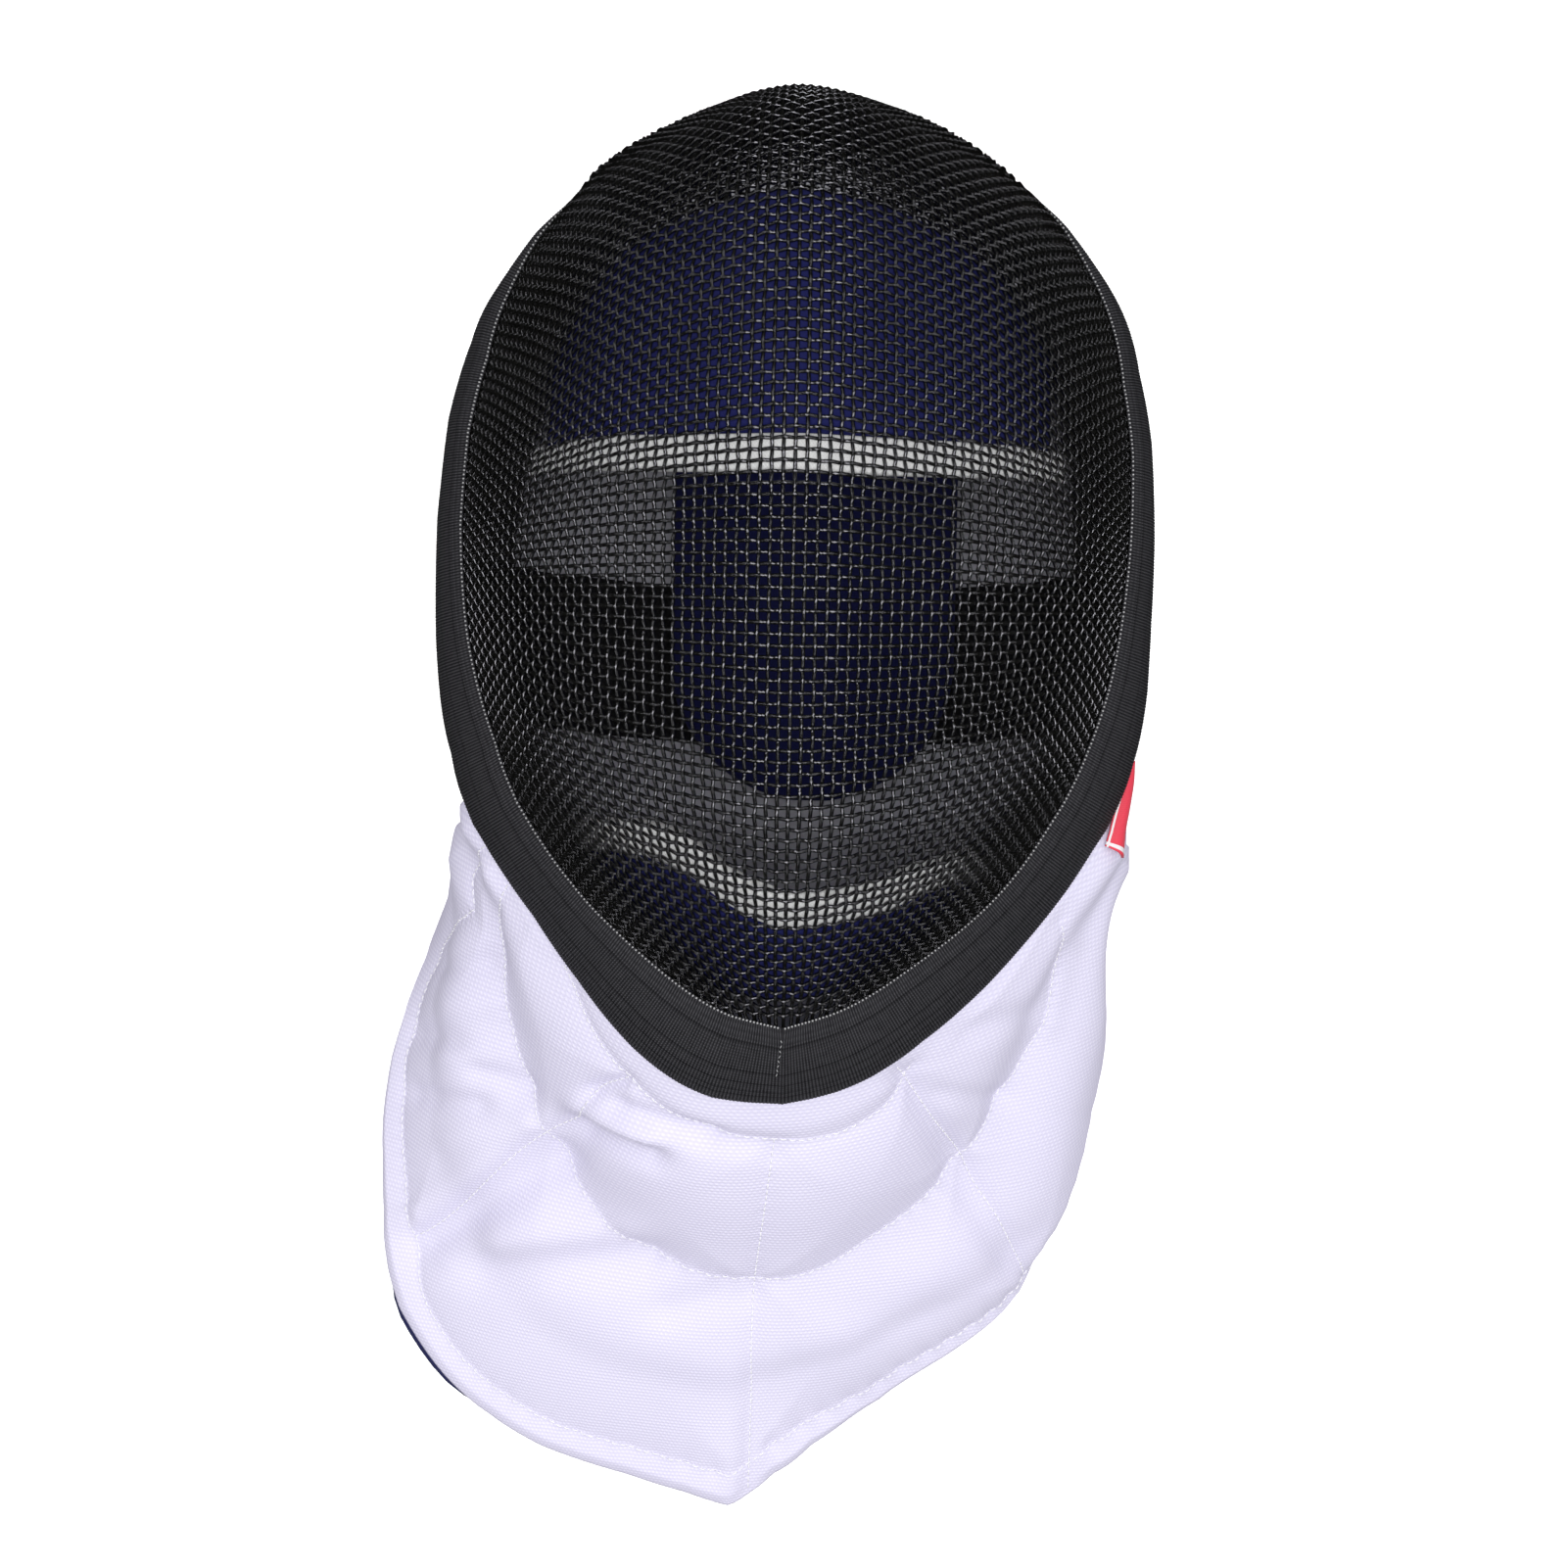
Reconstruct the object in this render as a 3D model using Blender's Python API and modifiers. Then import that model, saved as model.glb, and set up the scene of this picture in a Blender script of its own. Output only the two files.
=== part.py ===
"""Fencing mask, lying on its back with the wire face up.

Metres. +Z points out of the face, +Y to the crown of the head, +X across. The mask is symmetric
about X = 0 apart from its bib, which lies spread out to one side and tucked under on the other.
"""
import math

import bmesh
import bpy
import numpy as np

# ---------------------------------------------------------------- driving dimensions (metres)
CLEARANCE = 0.0004       # between pieces that touch
WIRE_LAYER = 0.0020      # two crossing wires of 1 mm
TRIM_WIDTH = 0.0315      # elastic trim over the joint of face and back
TRIM_THICK = 0.0015
TRIM_BULGE = 0.0020      # the trim stands proud over the rims of both meshes
RIM_RADIUS = 0.0035      # bound rear edge
BIB_THICK = 0.0050
LINING_THICK = 0.0010
LINING_START = 2         # the lining leaves out the rows of the bib under the trim
LINING_SHORT = 0.25      # and stops this share of a row above the hem
PAD_THICK = 0.0080
BAND_THICK = 0.0050
BAND_WIDTH = 0.0122
STRAP_WIDTH = 0.0500
STRAP_THICK = 0.0016
TONGUE_WIDTH = 0.0895
TONGUE_THICK = 0.0095
TAB_THICK = 0.0010

# The mask's own plane X = 0 and its pivot line are moved so that the origin lies under the middle
# of the whole, bib included, on the surface that the mask lies on.
FRAME_SHIFT = (0.0101, 0.0083, 0.0)

# ---------------------------------------------------------------- the wire face
# Cuts through the face hold the X direction and swing about one line behind it. In each cut the
# wire runs as two equal arcs that meet in the middle ridge at RIDGE_SLOPE.
PIVOT_Y = 0.0600
PIVOT_Z = -0.0200
RIDGE_SLOPE = math.radians(16.0)
STEEPEST = 0.98           # sine of the steepest slope read off an arc
SLOPE_STEP = 0.0010       # run over which an arc's slope is measured
NORMAL_STEP = 0.05        # stations over which the outline's direction is measured
PAD_RIDGE = 0.0060        # pads behind the ridge are rounded over this width
FACE_COLUMNS = ("angle", "ridge_radius", "half_width", "chord_slope", "spread", "inset")
FACE_STATIONS = (
    # angle in degrees from +Y, ridge radius, half width, slope of the chord in degrees,
    # how far the trim runs outwards, how far the back wall runs inwards
    (36.4, 0.1812, 0.0000, 16.0, -0.0010, 0.0200),
    (37.1, 0.1830, 0.0175, 16.5, 0.0000, 0.0198),
    (38.7, 0.1868, 0.0330, 19.0, 0.0005, 0.0192),
    (41.6, 0.1929, 0.0550, 26.0, 0.0015, 0.0180),
    (44.5, 0.1974, 0.0672, 30.6, 0.0020, 0.0170),
    (47.7, 0.2015, 0.0788, 32.8, 0.0025, 0.0160),
    (54.6, 0.2060, 0.0908, 36.1, 0.0035, 0.0145),
    (64.5, 0.2104, 0.0966, 39.2, 0.0055, 0.0130),
    (79.2, 0.2133, 0.0976, 41.8, 0.0070, 0.0120),
    (96.4, 0.2160, 0.0942, 42.2, 0.0098, 0.0105),
    (108.7, 0.2181, 0.0864, 41.5, 0.0145, 0.0080),
    (116.4, 0.2155, 0.0742, 38.3, 0.0165, 0.0060),
    (122.2, 0.2116, 0.0592, 33.5, 0.0170, 0.0060),
    (126.2, 0.2086, 0.0360, 27.0, 0.0185, 0.0060),
    (127.9, 0.2073, 0.0200, 22.0, 0.0200, 0.0060),
    (128.9, 0.2064, 0.0000, 20.0, 0.0208, 0.0060),
)
CHIN = len(FACE_STATIONS) - 1      # stations count from the crown, 0, to the chin
CHEEK = CHIN - 4.5                 # the back wall ends and the bib starts here
CHEEK_JOINT = 0.012                # half the joint between them, in stations
STATION_STEP = 0.5
BIB_STEP = 0.25
RIB_COUNT = 10                     # columns of the face mesh each side of the ridge
SEAM = 0.5                         # where face and back meet under the trim, as a share of its width
SEAM_JOINT = 0.02
TUCKED = 0.75                      # where the back wall and the bib pass under it
TRIM_ROWS = (0.0, 0.25, 0.5, 0.75, 1.0)

# ---------------------------------------------------------------- back wall and rear rim
WALL_FOOT = 2.0 * RIM_RADIUS + CLEARANCE
WALL_BULGE = 0.0035
WALL_ROWS = 6

# ---------------------------------------------------------------- bib
BIB_COLUMNS = (
    "station",
    "ring_x", "ring_y", "ring_z",
    "skirt_x", "skirt_y", "skirt_z",
    "hem_x", "hem_y", "hem_z",
)
BIB_STATIONS = (
    # station from the chin (left side negative), the quilted ring seam, the skirt, the hem
    (-4.5, -0.0985, -0.0090, 0.0600, -0.1018, -0.0180, 0.0300, -0.1045, -0.0285, 0.0052),
    (-3.8, -0.0905, -0.0300, 0.0760, -0.1050, -0.0430, 0.0350, -0.1120, -0.0540, 0.0052),
    (-3.0, -0.0862, -0.0520, 0.0710, -0.1075, -0.0790, 0.0300, -0.1225, -0.0840, 0.0052),
    (-2.2, -0.0815, -0.0780, 0.0560, -0.1080, -0.1120, 0.0250, -0.1275, -0.1200, 0.0052),
    (-1.5, -0.0723, -0.1046, 0.0480, -0.0990, -0.1420, 0.0220, -0.1225, -0.1600, 0.0052),
    (-0.7, -0.0450, -0.1405, 0.0450, -0.0680, -0.1790, 0.0210, -0.0850, -0.2060, 0.0052),
    (0.0, -0.0060, -0.1540, 0.0450, -0.0060, -0.1930, 0.0220, -0.0063, -0.2275, 0.0052),
    (0.7, 0.0300, -0.1385, 0.0455, 0.0360, -0.1700, 0.0230, 0.0370, -0.1915, 0.0052),
    (1.5, 0.0575, -0.1145, 0.0475, 0.0685, -0.1500, 0.0230, 0.0710, -0.1640, 0.0040),
    (2.2, 0.0690, -0.0925, 0.0535, 0.0895, -0.1290, 0.0230, 0.0850, -0.1350, 0.0012),
    (3.0, 0.0795, -0.0590, 0.0690, 0.1000, -0.0840, 0.0290, 0.0940, -0.0920, 0.0012),
    (3.8, 0.0920, -0.0290, 0.0720, 0.0945, -0.0400, 0.0450, 0.0960, -0.0480, 0.0020),
    (4.5, 0.1005, -0.0130, 0.0620, 0.1015, -0.0190, 0.0300, 0.1020, -0.0250, 0.0040),
)
BIB_LEVELS = (0.0, 0.4, 0.75, 1.0, 1.4, 1.75, 2.0, 2.35, 2.7, 3.0)  # 1 ring, 2 skirt, 3 hem
BIB_BULGE = 0.0030
BIB_CORE = (0.0, -0.0200, -0.0200)  # the quilting swells away from here
FLOOR_CLEARANCE = 0.0008

# ---------------------------------------------------------------- pads seen through the wire
PAD_DEPTH = 0.0018        # from the middle of the wire layer to the pad's face
BROW_ANGLE = 80.6         # upper edge of the brow band at the ridge, degrees
BROW_RISE = 3.9           # how far its ends lie nearer the crown, degrees
BROW_HALF = 0.0800
FOREHEAD_TOP = 58.0
FOREHEAD_HALF = 0.0765
FOREHEAD_CORNER = 5.0     # exponent of the rounded upper corners
FOREHEAD_SIDE = 8.0       # height of its straight side edges, degrees
CHIN_BAND_COLUMNS = ("x", "angle")
CHIN_BAND = (
    # upper edge of the chin band across the face, from the left
    (-0.064, 116.3),
    (-0.040, 112.8),
    (-0.024, 114.6),
    (-0.008, 118.2),
    (0.024, 118.6),
    (0.040, 117.4),
    (0.058, 117.6),
)
CHIN_BAND_HEIGHT = 2.2    # degrees
CHIN_PAD_END = 127.0
CHIN_PAD_TAPER = 0.30     # share of its width left at the chin
CHIN_HALF = 0.0610
PAD_TAPER = 0.45          # share of the thickness left at a pad's edge

# ---------------------------------------------------------------- tongue and strap behind the head
TONGUE_X = 0.0068         # it hangs a little to the right of the ridge
TONGUE_TIP_Y = -0.0056
TONGUE_ROOT_Y = 0.1805
TONGUE_ROOT_Z = 0.0145    # height of its middle at the rear rim
TONGUE_ROOT_SHARE = 0.86  # and the place on the back wall that its lower edge meets
TONGUE_REACH = 8.0        # last station that its root can meet
TONGUE_ARCH = 0.0060
TONGUE_END_TURN = math.radians(84.0)  # its round end stops just short of a half circle
STRAP_MIDDLE_Y = 0.0370
STRAP_END_Y = 0.0440
STRAP_Z = 0.0025
STRAP_CORNER = 0.0090
STRAP_TOP_Z = 0.0420
STRAP_LEAN = 0.0200       # height over which its ends come to lie on the back wall

# ---------------------------------------------------------------- side tab
TAB_COLUMNS = ("station", "free_x", "free_y", "free_z")
TAB_STATIONS = (
    # station from the chin on the right side, the tab's free edge
    (4.68, 0.1052, 0.0068, 0.0760),
    (4.20, 0.1042, -0.0060, 0.0800),
    (3.75, 0.1022, -0.0205, 0.0830),
)
TAB_BOW = 0.0030          # it curls up between its seam and its free edge
TAB_SEAM = 1.02           # just past the outer edge of the trim, as a share of its width

# ---------------------------------------------------------------- colours
COLOURS = {
    "wire": ((0.030, 0.030, 0.027), 0.40, 0.60),
    "trim": ((0.012, 0.012, 0.013), 0.75, 0.00),
    "bib_fabric": ((0.760, 0.730, 0.880), 0.85, 0.00),
    "navy_fabric": ((0.012, 0.014, 0.080), 0.90, 0.00),
    "white_binding": ((0.700, 0.700, 0.680), 0.80, 0.00),
    "strap_elastic": ((0.010, 0.010, 0.011), 0.85, 0.00),
    "tab_fabric": ((0.820, 0.050, 0.090), 0.60, 0.00),
}


def column(table, columns, name):
    return np.array([row[columns.index(name)] for row in table], dtype=float)


def smooth(keys, values, key):
    """Value at key on a smooth curve through the points (keys, values)."""
    last = len(keys) - 1
    here = int(np.clip(np.searchsorted(keys, key, side="right") - 1, 0, last - 1))
    span = keys[here + 1] - keys[here]

    def slope(index):
        low = max(index - 1, 0)
        high = min(index + 1, last)
        return (values[high] - values[low]) / (keys[high] - keys[low])

    share = (key - keys[here]) / span
    start = slope(here) * span
    end = slope(here + 1) * span
    square = share * share
    cube = square * share
    return (
        (2.0 * cube - 3.0 * square + 1.0) * values[here]
        + (cube - 2.0 * square + share) * start
        + (3.0 * square - 2.0 * cube) * values[here + 1]
        + (cube - square) * end
    )


STATION_NUMBERS = np.arange(len(FACE_STATIONS), dtype=float)
FACE = {name: column(FACE_STATIONS, FACE_COLUMNS, name) for name in FACE_COLUMNS}


def face_value(name, position):
    return smooth(STATION_NUMBERS, FACE[name], position)


def arc_point(half_width, chord_slope, share):
    """Sideways run and drop of a point on one arc of a cut, share 0 at the ridge, 1 at the trim."""
    chord_slope = max(math.radians(chord_slope), RIDGE_SLOPE + 1e-4)
    chord = max(half_width, 1e-9) / math.cos(chord_slope)
    half_turn = chord_slope - RIDGE_SLOPE
    radius = chord / (2.0 * math.sin(half_turn))
    turn = RIDGE_SLOPE + 2.0 * half_turn * share
    run = radius * (math.sin(turn) - math.sin(RIDGE_SLOPE))
    drop = radius * (math.cos(RIDGE_SLOPE) - math.cos(turn))
    return run, drop


def arc_drop(half_width, chord_slope, run):
    """Drop of the arc at a sideways run."""
    chord_slope = max(math.radians(chord_slope), RIDGE_SLOPE + 1e-4)
    radius = half_width / math.cos(chord_slope) / (2.0 * math.sin(chord_slope - RIDGE_SLOPE))
    turn = math.asin(min(run / radius + math.sin(RIDGE_SLOPE), STEEPEST))
    return radius * (math.cos(RIDGE_SLOPE) - math.cos(turn))


def swing(angle, radius, x):
    """Point at a distance from the pivot line, in the cut at an angle in degrees."""
    turn = math.radians(angle)
    return np.array([x, PIVOT_Y + radius * math.cos(turn), PIVOT_Z + radius * math.sin(turn)])


def face_point(position, share):
    """Point on the wire face; share runs from -1, left trim, to 1, right trim."""
    half_width = max(face_value("half_width", position), 0.0)
    run, drop = arc_point(half_width, face_value("chord_slope", position), abs(share))
    radius = face_value("ridge_radius", position) - drop
    return swing(face_value("angle", position), radius, math.copysign(run, share))


def face_at(angle, x, depth):
    """Point a depth behind the wire face, at a cut's angle in degrees and a sideways place."""
    position = np.interp(angle, FACE["angle"], STATION_NUMBERS)
    values = (face_value("half_width", position), face_value("chord_slope", position))
    drop = arc_drop(*values, abs(x))
    radius = face_value("ridge_radius", position) - drop
    slope = (arc_drop(*values, abs(x) + SLOPE_STEP) - drop) / SLOPE_STEP
    down = 1.0 / math.hypot(1.0, slope)
    inward = slope * down * math.tanh(abs(x) / PAD_RIDGE)
    return swing(angle, radius - depth * down, x - math.copysign(depth * inward, x))


def plan_normal(position, side):
    """Unit vector in plan, straight out of the mask's outline."""
    if position <= 0.0:
        return np.array([0.0, 1.0, 0.0])
    if position >= CHIN:
        return np.array([0.0, -1.0, 0.0])
    ahead = face_point(min(position + NORMAL_STEP, CHIN), side)
    behind = face_point(max(position - NORMAL_STEP, 0.0), side)
    along = ahead - behind
    normal = np.array([-along[1] * side, along[0] * side, 0.0])
    return normal / np.linalg.norm(normal)


def band_point(position, side, share, lift=0.0):
    """Point on the band under the trim; share 0 is its face edge, 1 its outer edge."""
    spread = face_value("spread", position)
    fall = math.sqrt(TRIM_WIDTH**2 - spread**2)
    outward = plan_normal(position, side)
    across = outward * spread + np.array([0.0, 0.0, -fall])
    normal = outward * fall + np.array([0.0, 0.0, spread])
    normal = normal / np.linalg.norm(normal)
    bulge = TRIM_BULGE * math.sin(math.pi * share)
    return face_point(position, side) + across * share + normal * (bulge + lift)


def side_positions(start, end, step=STATION_STEP):
    count = int(round((end - start) / step))
    return [start + (end - start) * index / count for index in range(count + 1)]


def loop_positions():
    """Stations right round the mask, from the crown down the left side and up the right."""
    positions = side_positions(0.0, CHIN)
    left = [(position, -1.0) for position in positions]
    right = [(position, 1.0) for position in reversed(positions[1:-1])]
    return left + right


# ---------------------------------------------------------------- meshes
def clear_scene():
    for item in list(bpy.data.objects):
        bpy.data.objects.remove(item, do_unlink=True)


def make_material(name):
    colour, roughness, metallic = COLOURS[name]
    material = bpy.data.materials.new(name)
    material.use_nodes = True
    shader = material.node_tree.nodes["Principled BSDF"]
    shader.inputs["Base Color"].default_value = (*colour, 1.0)
    shader.inputs["Roughness"].default_value = roughness
    shader.inputs["Metallic"].default_value = metallic
    return material


def place(piece):
    piece.location = FRAME_SHIFT
    bpy.data.collections["fencing_mask"].objects.link(piece)
    return piece


def add_object(name, mesh, material):
    mesh.materials.append(material)
    mesh.shade_smooth()
    return place(bpy.data.objects.new(name, mesh))


def sheet_mesh(name, rows, closed=False):
    """Open surface through rows of points that have the same count."""
    builder = bmesh.new()
    grid = [[builder.verts.new(point) for point in row] for row in rows]
    if closed:
        grid.append(grid[0])
    for lower, upper in zip(grid, grid[1:]):
        for index in range(len(lower) - 1):
            builder.faces.new((lower[index], lower[index + 1], upper[index + 1], upper[index]))
    bmesh.ops.remove_doubles(builder, verts=builder.verts, dist=1e-6)
    mesh = bpy.data.meshes.new(name)
    builder.to_mesh(mesh)
    builder.free()
    return mesh


def shell(name, rows, thickness, offset, material, closed=False):
    """Wall of even thickness; offset -1 grows it inwards from the rows, 0 both ways."""
    piece = add_object(name, sheet_mesh(name, rows, closed), material)
    solid = piece.modifiers.new("Wall", "SOLIDIFY")
    solid.thickness = thickness
    solid.offset = offset
    return piece


def pad(name, rows, thickness, material):
    """Wall that thins towards its edges."""
    piece = shell(name, rows, thickness, -1.0, material)
    full = piece.vertex_groups.new(name="full")
    last_row = len(rows) - 1
    last_column = len(rows[0]) - 1
    for row in range(last_row + 1):
        for place in range(last_column + 1):
            inside = 0 < row < last_row and 0 < place < last_column
            full.add([row * (last_column + 1) + place], 1.0 if inside else 0.0, "REPLACE")
    solid = piece.modifiers["Wall"]
    solid.vertex_group = "full"
    solid.thickness_vertex_group = PAD_TAPER
    return piece


def inset_rows(rows, depth):
    """Rows of points moved a depth behind the surface that they make."""
    surface = sheet_mesh("inset", rows)
    width = len(rows[0])
    points = [np.array(vertex.co - vertex.normal * depth) for vertex in surface.vertices]
    bpy.data.meshes.remove(surface)
    return [points[start : start + width] for start in range(0, len(points), width)]


# ---------------------------------------------------------------- wire face, trim and back wall
def make_face_mesh(material):
    shares = [index / RIB_COUNT for index in range(-RIB_COUNT, RIB_COUNT + 1)]
    tucked = (SEAM - SEAM_JOINT, SEAM / 2.0)
    rows = []
    for position in side_positions(0.0, CHIN):
        left = [band_point(position, -1.0, share) for share in tucked]
        right = [band_point(position, 1.0, share) for share in reversed(tucked)]
        rows.append(left + [face_point(position, share) for share in shares] + right)
    shell("face_mesh", rows[::-1], WIRE_LAYER, 0.0, material)


def make_trim(material):
    lift = WIRE_LAYER / 2.0 + CLEARANCE
    rows = [
        [band_point(position, side, share, lift) for share in TRIM_ROWS]
        for position, side in loop_positions()
    ]
    shell("edge_trim", rows, TRIM_THICK, 1.0, material, closed=True)


def wall_foot(position, side):
    """Where the back wall's middle meets the rear rim, in plan."""
    foot = band_point(position, side, 1.0) - plan_normal(position, side) * face_value("inset", position)
    foot[2] = WALL_FOOT
    return foot


def wall_point(position, side, share, depth=0.0):
    """Point on the back wall; share 0 is the trim's outer edge, 1 the rear rim."""
    top = band_point(position, side, 1.0)
    foot = wall_foot(position, side)
    outward = plan_normal(position, side)
    bulge = WALL_BULGE * math.sin(math.pi * share)
    return top + (foot - top) * share + outward * (bulge - depth)


def wall_positions():
    positions = side_positions(0.0, CHEEK)
    positions[-1] = CHEEK - CHEEK_JOINT
    left = [(position, -1.0) for position in reversed(positions)]
    return left + [(position, 1.0) for position in positions[1:]]


def make_back_mesh(material):
    tucked = (SEAM + SEAM_JOINT, TUCKED)
    rows = []
    for position, side in wall_positions():
        under_trim = [band_point(position, side, share) for share in tucked]
        wall = [wall_point(position, side, index / WALL_ROWS) for index in range(WALL_ROWS + 1)]
        rows.append(under_trim + wall)
    shell("back_mesh", rows[::-1], WIRE_LAYER, 0.0, material)


def make_rear_rim(material):
    path = bpy.data.curves.new("rear_rim", "CURVE")
    path.dimensions = "3D"
    path.bevel_depth = RIM_RADIUS
    path.bevel_resolution = 2
    path.use_fill_caps = True
    spline = path.splines.new("POLY")
    places = wall_positions()
    spline.points.add(len(places) - 1)
    for point, (position, side) in zip(spline.points, places):
        foot = wall_foot(position, side)
        point.co = (foot[0], foot[1], RIM_RADIUS, 1.0)
    path.materials.append(material)
    place(bpy.data.objects.new("rear_rim", path))


# ---------------------------------------------------------------- bib and lining
BIB = {name: column(BIB_STATIONS, BIB_COLUMNS, name) for name in BIB_COLUMNS}
BIB_LINES = ("ring", "skirt", "hem")


def bib_line(line, station):
    return np.array([smooth(BIB["station"], BIB[f"{line}_{axis}"], station) for axis in "xyz"])


def bib_profile(station):
    """Outer surface of the bib from under the trim down to the hem, at a station from the chin."""
    side = -1.0 if station < 0.0 else 1.0
    position = CHIN - abs(station)
    lift = WIRE_LAYER / 2.0 - CLEARANCE * 2.0
    tucked = [band_point(position, side, share, lift) for share in (SEAM + SEAM_JOINT, TUCKED)]
    top = band_point(position, side, 1.0, lift)
    knots = np.array([top] + [bib_line(line, station) for line in BIB_LINES])
    away = knots.mean(axis=0) - np.array(BIB_CORE)
    away = away / np.linalg.norm(away)
    levels = np.arange(len(knots), dtype=float)
    lower = []
    for level in BIB_LEVELS:
        point = smooth(levels, knots, level)
        point = point + away * BIB_BULGE * math.sin(math.pi * level) ** 2 * (level < 2.0)
        point[2] = max(point[2], FLOOR_CLEARANCE)
        lower.append(point)
    return tucked + lower


def bib_rows():
    reach = CHIN - CHEEK
    stations = side_positions(-reach, reach, BIB_STEP)
    stations[0] += CHEEK_JOINT
    stations[-1] -= CHEEK_JOINT
    return [bib_profile(station) for station in stations]


def make_bib(fabric, navy):
    rows = bib_rows()
    shell("bib", rows, BIB_THICK, -1.0, fabric)
    lining = []
    for row in inset_rows(rows, BIB_THICK + CLEARANCE):
        end = row[-1] + (row[-2] - row[-1]) * LINING_SHORT
        lining.append(row[LINING_START:-1] + [end])
    shell("bib_lining", lining, LINING_THICK, -1.0, navy)


# ---------------------------------------------------------------- pads and bands
def brow_edge(x):
    return BROW_ANGLE - BROW_RISE * (x / BROW_HALF) ** 2


def brow_height():
    return math.degrees(BAND_WIDTH / FACE["ridge_radius"].max())


def forehead_top(x):
    rounding = (abs(x) / FOREHEAD_HALF) ** FOREHEAD_CORNER
    return FOREHEAD_TOP + (brow_edge(x) - FOREHEAD_SIDE - FOREHEAD_TOP) * rounding


def spaced(low, high, count):
    return [low + (high - low) * index / count for index in range(count + 1)]


def make_forehead(navy, white):
    joint = math.degrees(CLEARANCE / FACE["ridge_radius"].max())
    rows = []
    for share in spaced(0.0, 1.0, 7):
        row = []
        for x in spaced(-FOREHEAD_HALF, FOREHEAD_HALF, 14):
            low = brow_edge(x) - joint
            row.append(face_at(low + (forehead_top(x) - low) * share, x, PAD_DEPTH))
        rows.append(row)
    pad("forehead_pad", rows, PAD_THICK, navy)
    rows = []
    for height in spaced(brow_height(), 0.0, 3):
        places = spaced(-BROW_HALF, BROW_HALF, 16)
        rows.append([face_at(brow_edge(x) + height, x, PAD_DEPTH) for x in places])
    pad("brow_band", rows, BAND_THICK, white)


def chin_edge(x):
    keys = column(CHIN_BAND, CHIN_BAND_COLUMNS, "x")
    return smooth(keys, column(CHIN_BAND, CHIN_BAND_COLUMNS, "angle"), x)


def make_chin(navy, white):
    joint = math.degrees(CLEARANCE / FACE["ridge_radius"].max())
    places = spaced(-CHIN_HALF, CHIN_HALF, 14)
    rows = []
    for height in spaced(CHIN_BAND_HEIGHT, 0.0, 3):
        rows.append([face_at(chin_edge(x) + height, x, PAD_DEPTH) for x in places])
    pad("chin_band", rows, BAND_THICK, white)
    rows = []
    for share in spaced(1.0, 0.0, 7):
        row = []
        for x in places:
            low = chin_edge(x) + CHIN_BAND_HEIGHT + joint
            narrow = 1.0 - share * (1.0 - CHIN_PAD_TAPER)
            row.append(face_at(low + (CHIN_PAD_END - low) * share, x * narrow, PAD_DEPTH))
        rows.append(row)
    pad("chin_pad", rows, PAD_THICK, navy)


# ---------------------------------------------------------------- tongue and strap
def tongue_root(x):
    """Where the tongue meets the inside of the back wall, above the rear rim."""
    side = math.copysign(1.0, x)
    depth = WIRE_LAYER / 2.0 + CLEARANCE
    positions = side_positions(0.0, TONGUE_REACH)
    wall = [wall_point(position, side, TONGUE_ROOT_SHARE, depth) for position in positions]
    return float(np.interp(abs(x), [abs(point[0]) for point in wall], [point[1] for point in wall]))


def make_tongue(navy):
    half = TONGUE_WIDTH / 2.0
    straight_end = TONGUE_TIP_Y + half
    places = [(share, half) for share in spaced(0.0, 1.0, 6)]
    for turn in spaced(0.0, TONGUE_END_TURN, 6)[1:]:
        places.append((1.0 + half * math.sin(turn) / (TONGUE_ROOT_Y - straight_end), half * math.cos(turn)))
    last = places[-1][0]
    rows = []
    for share, reach in places:
        z = TONGUE_ROOT_Z + TONGUE_THICK / 2.0 + TONGUE_ARCH * math.sin(math.pi * share / last)
        row = []
        for across in spaced(-1.0, 1.0, 8):
            x = TONGUE_X + reach * across
            curve = (tongue_root(x) - TONGUE_ROOT_Y) * max(1.0 - 2.0 * share, 0.0)
            row.append(np.array([x, TONGUE_ROOT_Y + curve + (straight_end - TONGUE_ROOT_Y) * share, z]))
        rows.append(row)
    pad("tongue", rows[::-1], TONGUE_THICK, navy)


def strap_profile(y, side):
    """Half of the strap seen from the chin: up the inside of the wall from the middle."""
    position = np.interp(-y, -wall_ys(), STATION_NUMBERS[: len(wall_ys())])
    seat = RIM_RADIUS + CLEARANCE + STRAP_THICK / 2.0
    foot = wall_point(position, side, 1.0, seat)
    points = [np.array([foot[0] * share, y, STRAP_Z]) for share in (0.0, 0.2, 0.4, 0.6, 0.8)]
    bend = np.array([abs(foot[0]) - STRAP_CORNER, y, STRAP_Z + STRAP_CORNER])
    for turn in spaced(0.0, math.pi / 2.0, 4):
        reach = bend[0] + STRAP_CORNER * math.sin(turn)
        points.append(np.array([side * reach, y, bend[2] - STRAP_CORNER * math.cos(turn)]))
    height = band_point(position, side, 1.0)[2] - WALL_FOOT
    touch = WIRE_LAYER / 2.0 + CLEARANCE + STRAP_THICK / 2.0
    for z in spaced(points[-1][2], STRAP_TOP_Z, 4)[1:]:
        share = 1.0 - (z - WALL_FOOT) / height
        lean = touch + (seat - touch) * max(0.0, 1.0 - (z - STRAP_CORNER) / STRAP_LEAN)
        wall = wall_point(position, side, share, lean)
        points.append(np.array([wall[0], y, z]))
    return points


def wall_ys():
    return np.array([wall_foot(position, 1.0)[1] for position in range(int(CHEEK) + 1)])


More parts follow.
